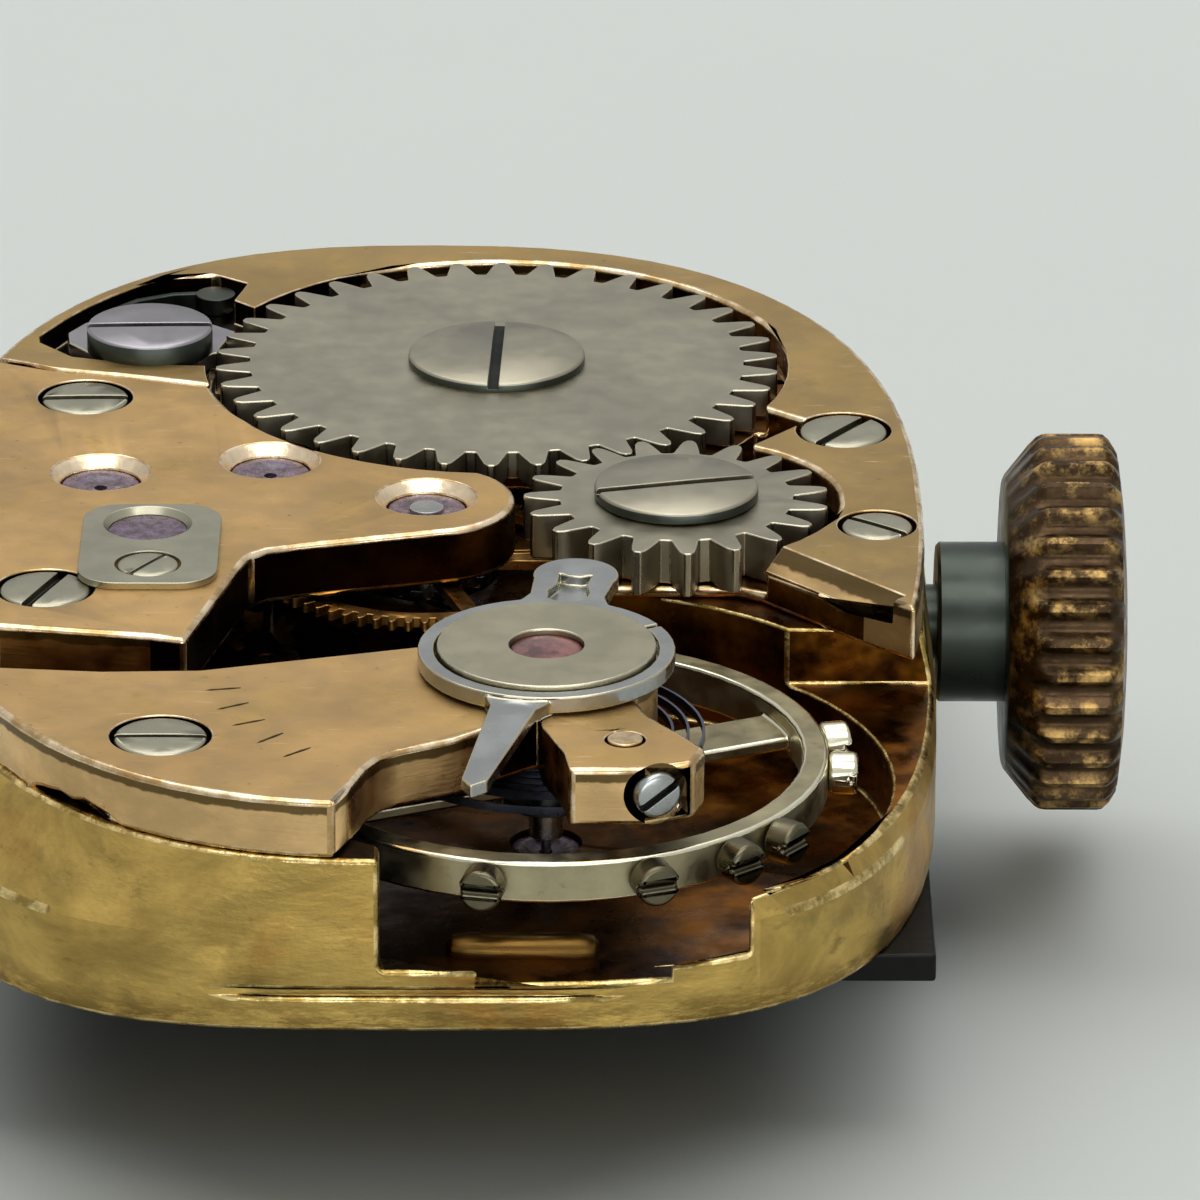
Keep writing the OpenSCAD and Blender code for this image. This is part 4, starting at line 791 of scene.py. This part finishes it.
class MOVEMENT_OT_main_plate(bpy.types.Operator):
    """Make the main plate and its dial"""

    bl_idname = "movement.main_plate"
    bl_label = "Main Plate"

    def execute(self, context):
        dress("main_plate", "movement", "plate_gilt", ["plate", "painted_shade"], mm(sizes().plate_edge), "plate_edge",
              prepare=tone_plate)
        # A ridge along the plate's front wall, in the painted shade of the inner walls
        ridge = lathe([(0, -0.86), (0.1, -0.86), (0.17, -0.78), (0.2, -0.6), (0.19, 0.1), (0.2, 0.62), (0.17, 0.8),
                       (0.1, 0.86), (0, 0.86)], 24)
        ridge = placed(ridge, Matrix.Translation((1.18, -8.3, 0.64)) @ turned(90, "Y"))
        make_piece("plate_ridge", ridge, "movement", ["painted_shade_wall"], sharp=60)
        dress("dial", "movement", "dial_black", ["dial"], 0.04)
        # The pallet bridge gets painted shade all over
        dress("pallet_bridge", "movement", "plate_gilt", ["painted_shade"], 0.03)
        return {"FINISHED"}


class MOVEMENT_OT_bridges(bpy.types.Operator):
    """Make the barrel bridge, the train bridge and the balance cock"""

    bl_idname = "movement.bridges"
    bl_label = "Bridges"

    def execute(self, context):
        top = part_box("barrel_bridge")[1].z / MM
        stones = solids_of("train_jewels")

        def tone_barrel_bridge(shape):
            tone_bridge(shape, lambda place, normal: abs(place.x) > 5.2 or place.y > 7.6, -math.inf)
            paint(shape, 1, lambda face: 0.3 < face.normal.z < 0.9 and face.calc_center_median().y < -1.5)

        def tone_train_bridge(shape):
            tone_bridge(shape, lambda place, normal: place.x < -5.2, -3.3, stones)

        def tone_cock(shape):
            tone_bridge(shape, lambda place, normal: normal.y < 0.1)

        rows = (
            ("barrel_bridge", "darker_gilt", worn_corner((3.9, -1.57, top), (5.44, -3.23, top), 0.26),
             tone_barrel_bridge),
            ("train_bridge", "gilt", None, tone_train_bridge),
            ("balance_cock", "gilt", torn_foot(), tone_cock),
        )
        for node, ground, cutter, tone in rows:
            dress(node, "movement", "bridge_gilt", [ground, "gilt_wall", "painted_shade_wall", "painted_shade", "polished_gilt"],
                  mm(sizes().bridge_edge), "gilt_edge", cutter, tone)
        make_piece("cock_graduations", graduations(), "movement", ["tarnish"])
        return {"FINISHED"}


def graduations():
    """Short strokes in a fan on the cock, filled dark, which show how far the regulator is turned."""
    centre, top = solids_of("balance_staff")[0].middle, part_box("balance_cock")[1].z / MM
    strokes, first, step, reach = [], 190.5, 7.8, 3.75
    for k in range(5):
        angle = math.radians(first + step * k)
        place = (centre.x + reach * math.cos(angle), centre.y + reach * math.sin(angle), top)
        stroke = lathe([(0, -0.21), (0.012, -0.2), (0.024, -0.08), (0.018, 0.06), (0.022, 0.14), (0, 0.21)], 10)
        stroke.transform(Matrix.Diagonal((0.3, 1, 1, 1)))
        askew = Matrix.Rotation(angle + 0.2 * (k % 2), 4, "Z")
        strokes.append(placed(stroke, Matrix.Translation(place) @ askew @ turned(90, "Y")))
    return joined(strokes)


# The foot of the cock's wall is torn from one place to another, with these heights between them
TORN_FROM, TORN_TO = Vector((-4.36, -7.08)), Vector((-3.3, -8.5))
TORN_HEIGHTS = (0.01, 0.07, 0.1, 0.13, 0.1, 0.15, 0.12, 0.07, 0.05, 0.01)


def torn_foot():
    """Cutter for the ragged gap at the foot of the cock's wall."""
    foot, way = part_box("balance_cock")[0].z / MM, (TORN_TO - TORN_FROM).normalized()
    out, last = Vector((way.y, -way.x)) * 0.14, len(TORN_HEIGHTS) - 1
    return swept([(*(TORN_FROM.lerp(TORN_TO, k / last) + out * side), z)
                  for side, z in ((-1, foot - 0.05), (3, foot - 0.05), (3, foot + height), (-1, foot + height))]
                 for k, height in enumerate(TORN_HEIGHTS))


def worn_corner(start, end, width):
    """Cutter for a wide slope along the top edge between two places."""
    start, end = Vector(start), Vector(end)
    way, side = end - start, width * math.sqrt(2)
    return placed(block((way.length, side, side), (0, 0, 0)),
                  Matrix.Translation((start + end) / 2) @ along(way) @ turned(45, "X"))


class MOVEMENT_OT_screws(bpy.types.Operator):
    """Make the slotted screws of the bridges and the winding work"""

    bl_idname = "movement.screws"
    bl_label = "Screws"

    def execute(self, context):
        s = sizes()
        wide, small = mm(s.slot_width), mm(s.small_slot_width)
        rows = (
            # Node, body, the angle and width of each slot from left to right, its depth, finishes of head and side; a
            # dark side finish is painted shade
            ("barrel_bridge_screws", "movement", ((55, wide), (-38, small)), 0.1, "cap_steel", "dark_steel"),
            ("train_bridge_screws", "movement", ((68, wide), (2, wide)), 0.1, "cap_steel", "dark_steel"),
            ("cock_screw", "movement", ((0, small),), 0.1, "cap_steel", "dark_steel"),
            ("escape_cap_screw", "movement", ((57, 0.05),), 0.04, "cap_steel", "cap_steel"),
            ("pallet_bridge_screw", "movement", ((20, small),), 0.08, "bright_steel", "dark_steel"),
            ("ratchet_screw", "ratchet", ((88, wide),), 0.08, "steel", "dark_steel"),
            ("crown_wheel_screw", "movement", ((14, wide),), 0.09, "steel", "dark_steel"),
            ("click_screw", "movement", ((2, wide),), 0.12, "lilac_steel", "dark_steel"),
        )
        for node, body, slots, depth, finish, side in rows:
            shapes = [slotted_screw(spot, angle, width, depth)
                      for spot, (angle, width) in zip(solids_of(node), slots)]
            make_piece(node + "_finished", joined(shapes), body, [finish, "slot", side], (node,),
                       0.012)
        return {"FINISHED"}


class MOVEMENT_OT_jewels(bpy.types.Operator):
    """Make the jewels and the cap plate"""

    bl_idname = "movement.jewels"
    bl_label = "Jewels"

    def execute(self, context):
        for node in ("train_jewels", "plate_jewels"):
            stones = joined([pierced_stone(spot) for spot in solids_of(node)])
            make_piece(node + "_finished", stones, "movement", ["ruby"], (node,), sharp=50)
        dress("escape_cap_jewel", "movement", "ruby", (), 0.03)
        dress("escape_cap_plate", "movement", "polished_steel", ["cap_steel"], 0.012)
        return {"FINISHED"}


class MOVEMENT_OT_winding_wheels(bpy.types.Operator):
    """Make the ratchet wheel, the crown wheel and the click"""

    bl_idname = "movement.winding_wheels"
    bl_label = "Winding Wheels"

    def execute(self, context):
        tooth = mm(sizes().tooth_edge)
        dress("ratchet_wheel", "ratchet", "wheel_steel", ["steel"], tooth, "steel_edge")
        dress("crown_wheel", "crown_wheel", "wheel_steel", ["steel"], tooth, "steel_edge")
        # The crown wheel's core is given dark steel, as painted shade round its screw
        dress("crown_wheel_core", "movement", "polished_steel", ["dark_steel"], tooth)
        dress("click", "click", "wheel_steel", ["lilac_steel"], mm(sizes().steel_edge), "steel_edge")
        dress("click_spring", "movement", "dark_steel", (), 0.015)
        dress("barrel_arbor", "ratchet", "dark_steel", (), 0.015)
        return {"FINISHED"}


class MOVEMENT_OT_barrel(bpy.types.Operator):
    """Make the barrel and its mainspring"""

    bl_idname = "movement.barrel"
    bl_label = "Barrel"

    def execute(self, context):
        dress("barrel_drum", "barrel", "train_brass", (), 0.015)
        dress("barrel_cover", "barrel", "train_brass", (), 0.015)
        dress("mainspring", "barrel", "dark_steel", (), 0.0)
        return {"FINISHED"}


class MOVEMENT_OT_going_train(bpy.types.Operator):
    """Make the wheels and pinions of the going train"""

    bl_idname = "movement.going_train"
    bl_label = "Going Train"

    def execute(self, context):
        for body in ("centre", "third", "fourth", "escape"):
            dress(body + "_wheel", body, "train_brass", (), 0.012)
            dress(body + "_pinion", body, "dark_steel", ["bright_steel"], 0.01)
        return {"FINISHED"}


class MOVEMENT_OT_escapement(bpy.types.Operator):
    """Make the pallet fork and its stones"""

    bl_idname = "movement.escapement"
    bl_label = "Escapement"

    def execute(self, context):
        dress("pallet_fork", "fork", "dark_steel", ["bright_steel"], 0.012)
        dress("pallet_stones", "fork", "ruby", (), 0.008)
        return {"FINISHED"}


class MOVEMENT_OT_balance(bpy.types.Operator):
    """Make the balance with its screws, staff, roller and hairspring"""

    bl_idname = "movement.balance"
    bl_label = "Balance"

    def execute(self, context):
        def tone_screws(shape):
            paint(shape, 1, lambda face: face.calc_center_median().x > 4.45)

        dress("balance_wheel", "balance", "balance_brass", (), 0.045, "balance_edge")
        dress("balance_screws", "balance", "balance_brass", ["dark_brass", "balance_edge"], 0.06, prepare=tone_screws)
        dress("balance_staff", "balance", "dark_steel", ["bright_steel"], 0.01)
        dress("roller", "balance", "dark_steel", (), 0.01)
        make_piece("hairspring_coils", hairspring_ribbon(), "movement", ["blued_steel"],
                   ("hairspring",), sharp=60)
        return {"FINISHED"}


def hairspring_ribbon():
    """A flat spring in a spiral, from its collet out past the curb pins to its stud."""
    s = sizes()
    solid = solids_of("hairspring")[0]
    centre, stud = solids_of("balance_staff")[0].middle, solids_of("hairspring_stud")[0].middle
    height = (solid.top + solid.bottom) / 2
    outer = math.hypot(stud.x - centre.x, stud.y - centre.y) - 0.05
    inner, open_turns, open_pitch = 0.345, 0.75, 0.539
    pitch = (outer - inner - open_turns * open_pitch) / (s.spring_turns - open_turns)
    last_angle = math.atan2(stud.y - centre.y, stud.x - centre.x)
    half, thin, per_turn = mm(s.spring_width) / 2, 0.015, 56
    sections = []
    for k in range(s.spring_turns * per_turn + 1):
        back = k / per_turn
        radius = outer - open_pitch * min(back, open_turns) - pitch * max(0, back - open_turns)
        angle = last_angle - 2 * math.pi * back
        sections.append([(centre.x + (radius + dr) * math.cos(angle),
                          centre.y + (radius + dr) * math.sin(angle), height + dz)
                         for dr, dz in ((-thin, -half), (thin, -half), (thin, half), (-thin, half))])
    return swept(sections)


class MOVEMENT_OT_regulator(bpy.types.Operator):
    """Make the regulator, the end piece with its stone, and the hairspring's stud"""

    bl_idname = "movement.regulator"
    bl_label = "Regulator"

    def execute(self, context):
        edge = mm(sizes().steel_edge)
        dress("regulator", "regulator", "polished_steel", ["bright_steel"], edge, "steel_edge")
        dress("end_piece", "movement", "polished_steel", ["end_steel"], edge, "steel_edge")
        make_piece("end_stone_finished", domed_stone(solids_of("end_stone")[0]), "movement", ["end_stone"],
                   ("end_stone",), sharp=50)
        dress("hairspring_stud", "movement", "polished_steel", ["gilt_edge"], 0.02)
        make_piece("stud_screw_finished", stud_screw(), "movement", ["bright_steel", "slot"],
                   ("stud_screw",), 0.008, None, 1)
        return {"FINISHED"}


def domed_stone(spot):
    """A stone with a low polished dome."""
    r, top, rise = spot.radius, spot.top, 0.07
    profile = [(0, spot.bottom), (r, spot.bottom), (r, top - rise)]
    profile += [(r * math.cos(a), top - rise + rise * math.sin(a)) for a in (math.pi / 2 * k / 8 for k in range(1, 8))]
    return placed(lathe(profile + [(0, top)], 48), spot.axis)


def stud_screw():
    """The small screw that lies in the cock's block and holds the stud."""
    spot, stud = solids_of("stud_screw")[0], solids_of("hairspring_stud")[0]
    way = Vector((stud.middle.x - STUD_SCREW_AT[0], stud.middle.y - STUD_SCREW_AT[1]))
    radius, reach = (spot.top - spot.bottom) / 2, way.length - 0.2
    face_at, slot_depth = -0.2, 0.09
    profile = [(0, face_at), (radius - 0.06, face_at), (radius - 0.02, face_at + 0.02), (radius, face_at + 0.06),
               (radius, 0.28), (0.12, 0.28), (0.12, reach), (0, reach)]
    shape = cut(lathe(profile, 40), block((2 * radius + 0.1, 0.09, 2 * slot_depth), (0, 0, face_at)))
    floor = face_at + slot_depth
    # The slot's floor gets painted shade
    paint(shape, 1, lambda face: abs(face.calc_center_median().z - floor) < 0.01 and abs(face.normal.z) > 0.9)
    place = Matrix.Translation((*STUD_SCREW_AT, (spot.top + spot.bottom) / 2))
    return placed(shape, place @ along(way) @ turned(90, "Y") @ turned(60, "Z"))


class MOVEMENT_OT_crown(bpy.types.Operator):
    """Make the ribbed crown and its stem"""

    bl_idname = "movement.crown"
    bl_label = "Crown"

    def execute(self, context):
        dress("stem", "stem", "dark_steel", (), 0.02)
        make_piece("crown_finished", ribbed_crown(), "stem", ["crown", "dark_steel"], ("crown",),
                   sharp=40)
        return {"FINISHED"}


# Radius and place along the stem from the crown's inner face, turned round the stem
CROWN_PROFILE = [
    (0.36, -0.3), (0.5, -0.3), (0.5, -0.8), (0.92, -0.8), (0.96, -0.76), (0.96, 0), (1.72, 0), (1.77, 0.02),
    (2.12, 0.3), (2.22, 0.4), (2.25, 0.46), (2.26, 0.52), (2.26, 0.85), (2.26, 1.14), (2.25, 1.2), (2.19, 1.27),
    (2.06, 1.35), (1.6, 1.41), (1.2, 1.44), (0, 1.47), (0, 0.52), (0.36, 0.5), (0.36, -0.3)]


def ribbed_crown():
    """The crown with rounded ribs, and a share from 0 to 1 on each point for how far it stands out."""
    ribs, depth = 34, mm(sizes().rib_depth)
    shape = lathe(CROWN_PROFILE, ribs * 10)
    share = shape.verts.layers.float.new(RIB_SHARE)
    for vertex in shape.verts:
        radius, angle = math.hypot(vertex.co.x, vertex.co.y), math.atan2(vertex.co.y, vertex.co.x)
        turn = angle / (2 * math.pi) * ribs
        from_crest = abs(turn - round(turn))
        low = min(max((from_crest - 0.08) / 0.3, 0), 1)
        low = low * low * (3 - 2 * low)
        band = min(max((vertex.co.z - 0.26) / 0.16, 0), 1) * min(max((1.4 - vertex.co.z) / 0.16, 0), 1)
        if radius > 1.9:
            vertex.co.xy *= (radius - depth * low * band) / radius
            vertex[share] = 1 - low * band
        else:
            vertex[share] = 0.25
    paint(shape, 1, lambda face: face.calc_center_median().z < 0.01)
    place = Matrix.Translation((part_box("crown")[1].x / MM - CROWN_PROFILE[-4][1], 0, solids_of("stem")[0].middle.z))
    return placed(shape, place @ turned(90, "Y") @ turned(180, "Z"))


class MOVEMENT_OT_keyless_work(bpy.types.Operator):
    """Make the pinions, levers and springs that the crown works"""

    bl_idname = "movement.keyless_work"
    bl_label = "Keyless Work"

    def execute(self, context):
        for node in ("winding_pinion", "sliding_pinion", "setting_lever", "yoke", "setting_wheel"):
            dress(node, node, "dark_steel", (), 0.012)
        for node in ("setting_lever_spring", "yoke_spring"):
            dress(node, "movement", "dark_steel", (), 0.012)
        dress("setting_screw", "movement", "polished_steel", ["bright_steel"], 0.01)
        return {"FINISHED"}


class MOVEMENT_OT_motion_work(bpy.types.Operator):
    """Make the wheels that carry the hands"""

    bl_idname = "movement.motion_work"
    bl_label = "Motion Work"

    def execute(self, context):
        dress("minute_wheel", "minute_wheel", "train_brass", (), 0.01)
        dress("hour_wheel", "hour_wheel", "train_brass", (), 0.01)
        dress("cannon_pinion", "centre", "dark_steel", ["bright_steel"], 0.01)
        return {"FINISHED"}


class MOVEMENT_OT_stage(bpy.types.Operator):
    """Set up the camera, the light and the floor"""

    bl_idname = "movement.stage"
    bl_label = "Stage"

    def execute(self, context):
        settings = context.scene.movement_stage
        add_camera(context.scene, settings)
        add_floor()
        add_lamp("window", (0.02, 0.4, 0.5), (1.6, 0.35), 6.1, (1.0, 0.99, 0.97), "matt")
        add_lamp("sky", (-0.05, 0.2, 0.55), (0.5, 0.4), 1.2, (1.0, 0.99, 0.97), "metal")
        add_lamp("top", (0.02, -0.24, 0.55), (0.6, 0.3), 1.6, (1.0, 1.0, 0.99), "metal")
        add_lamp("card", (0.12, -0.6, 0.11), (0.7, 0.2), 1.1, (0.98, 1.0, 1.0), "metal")
        add_world(context.scene)
        context.scene.view_settings.view_transform = "Standard"
        return {"FINISHED"}


def add_camera(scene, settings):
    """A long lens at the measured distance, pitch, yaw and roll."""
    pitch, yaw, roll = settings.pitch, settings.yaw, settings.roll
    forward = Vector((math.sin(yaw) * math.cos(pitch), math.cos(yaw) * math.cos(pitch), -math.sin(pitch)))
    level = Vector((math.cos(yaw), -math.sin(yaw), 0))
    upright = level.cross(forward)
    right = level * math.cos(roll) + upright * math.sin(roll)
    up = upright * math.cos(roll) - level * math.sin(roll)
    camera = linked("camera", bpy.data.cameras.new("camera"))
    camera.matrix_world = (Matrix.Translation(Vector(settings.aim) - forward * settings.distance)
                           @ Matrix((right, up, -forward)).transposed().to_4x4())
    camera.data.lens = settings.lens
    camera.data.sensor_width = 36
    camera.data.clip_start = MM
    camera.data.clip_end = 10
    scene.camera = camera


def add_floor():
    """A wide table top under the lowest point of the movement."""
    shape = bmesh.new()
    bmesh.ops.create_grid(shape, x_segments=8, y_segments=8, size=2)
    floor = as_object("floor", shape)
    floor.data.materials.append(table_top())
    floor.location.z = CAD_BOX[0].z


def add_lamp(name, place, size, power, colour, lights):
    """A rectangular soft light that faces the movement, for matt surfaces or for the sheen of metal."""
    lamp = bpy.data.lights.new(name, "AREA")
    lamp.shape = "RECTANGLE"
    lamp.size, lamp.size_y = size
    lamp.energy = power
    lamp.color = colour
    holder = linked(name, lamp)
    holder.location = place
    holder.rotation_mode = "QUATERNION"
    holder.rotation_quaternion = (-Vector(place)).to_track_quat("-Z", "Y")
    holder.visible_glossy = lights == "metal"
    holder.visible_diffuse = lights == "matt"


def add_world(scene):
    """Pale surroundings, brighter above than at the level of the table, that metal shows and that light it softly."""
    world = bpy.data.worlds.new("studio")
    world.use_nodes = True
    tree = world.node_tree
    background = tree.nodes["Background"]
    parts = new_node(tree, "SeparateXYZ")
    tree.links.new(new_node(tree, "TexCoord").outputs["Generated"], parts.inputs[0])
    ramp = new_node(tree, "ValToRGB")
    ramp.color_ramp.elements[0].color = (0.46, 0.47, 0.46, 1)
    ramp.color_ramp.elements[1].color = (0.8, 0.81, 0.8, 1)
    ramp.color_ramp.elements[1].position = 0.9
    tree.links.new(parts.outputs["Z"], ramp.inputs[0])
    tree.links.new(ramp.outputs["Color"], background.inputs["Color"])
    path = new_node(tree, "LightPath")
    seen = path.outputs["Is Camera Ray"]
    for ray in ("Is Glossy Ray", "Is Transmission Ray"):
        either = new_node(tree, "Math")
        either.operation = "MAXIMUM"
        tree.links.new(seen, either.inputs[0])
        tree.links.new(path.outputs[ray], either.inputs[1])
        seen = either.outputs[0]
    strength = new_node(tree, "MapRange", to_min=AMBIENT_STRENGTH, to_max=SEEN_STRENGTH)
    tree.links.new(seen, strength.inputs["Value"])
    tree.links.new(strength.outputs["Result"], background.inputs["Strength"])
    scene.world = world


class MOVEMENT_PT_pieces(bpy.types.Panel):
    """Lists the operators that make the movement"""

    bl_idname = "MOVEMENT_PT_pieces"
    bl_label = "Watch Movement"
    bl_space_type = "VIEW_3D"
    bl_region_type = "UI"
    bl_category = "Movement"

    def draw(self, context):
        for name in SETTINGS:
            settings, box = getattr(context.scene, name), self.layout.box()
            for key in settings.bl_rna.properties.keys():
                if key not in ("rna_type", "name"):
                    box.prop(settings, key)
        for operator in OPERATORS:
            self.layout.operator(operator.bl_idname)


OPERATORS = (
    MOVEMENT_OT_main_plate, MOVEMENT_OT_bridges, MOVEMENT_OT_screws, MOVEMENT_OT_jewels,
    MOVEMENT_OT_winding_wheels, MOVEMENT_OT_barrel, MOVEMENT_OT_going_train, MOVEMENT_OT_escapement,
    MOVEMENT_OT_balance, MOVEMENT_OT_regulator, MOVEMENT_OT_crown, MOVEMENT_OT_keyless_work,
    MOVEMENT_OT_motion_work, MOVEMENT_OT_stage,
)
CLASSES = (MovementSizes, MovementColours, StageSettings, *OPERATORS, MOVEMENT_PT_pieces)
SETTINGS = {"movement_sizes": MovementSizes, "movement_colours": MovementColours, "movement_stage": StageSettings}


def register():
    for cls in CLASSES:
        bpy.utils.register_class(cls)
    for name, group in SETTINGS.items():
        setattr(bpy.types.Scene, name, bpy.props.PointerProperty(type=group))


def unregister():
    for name in SETTINGS:
        delattr(bpy.types.Scene, name)
    for cls in reversed(CLASSES):
        bpy.utils.unregister_class(cls)


def main():
    """Registers the add-on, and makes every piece."""
    register()
    for operator in OPERATORS:
        group, name = operator.bl_idname.split(".")
        getattr(getattr(bpy.ops, group), name)()


if __name__ == "__main__":
    main()
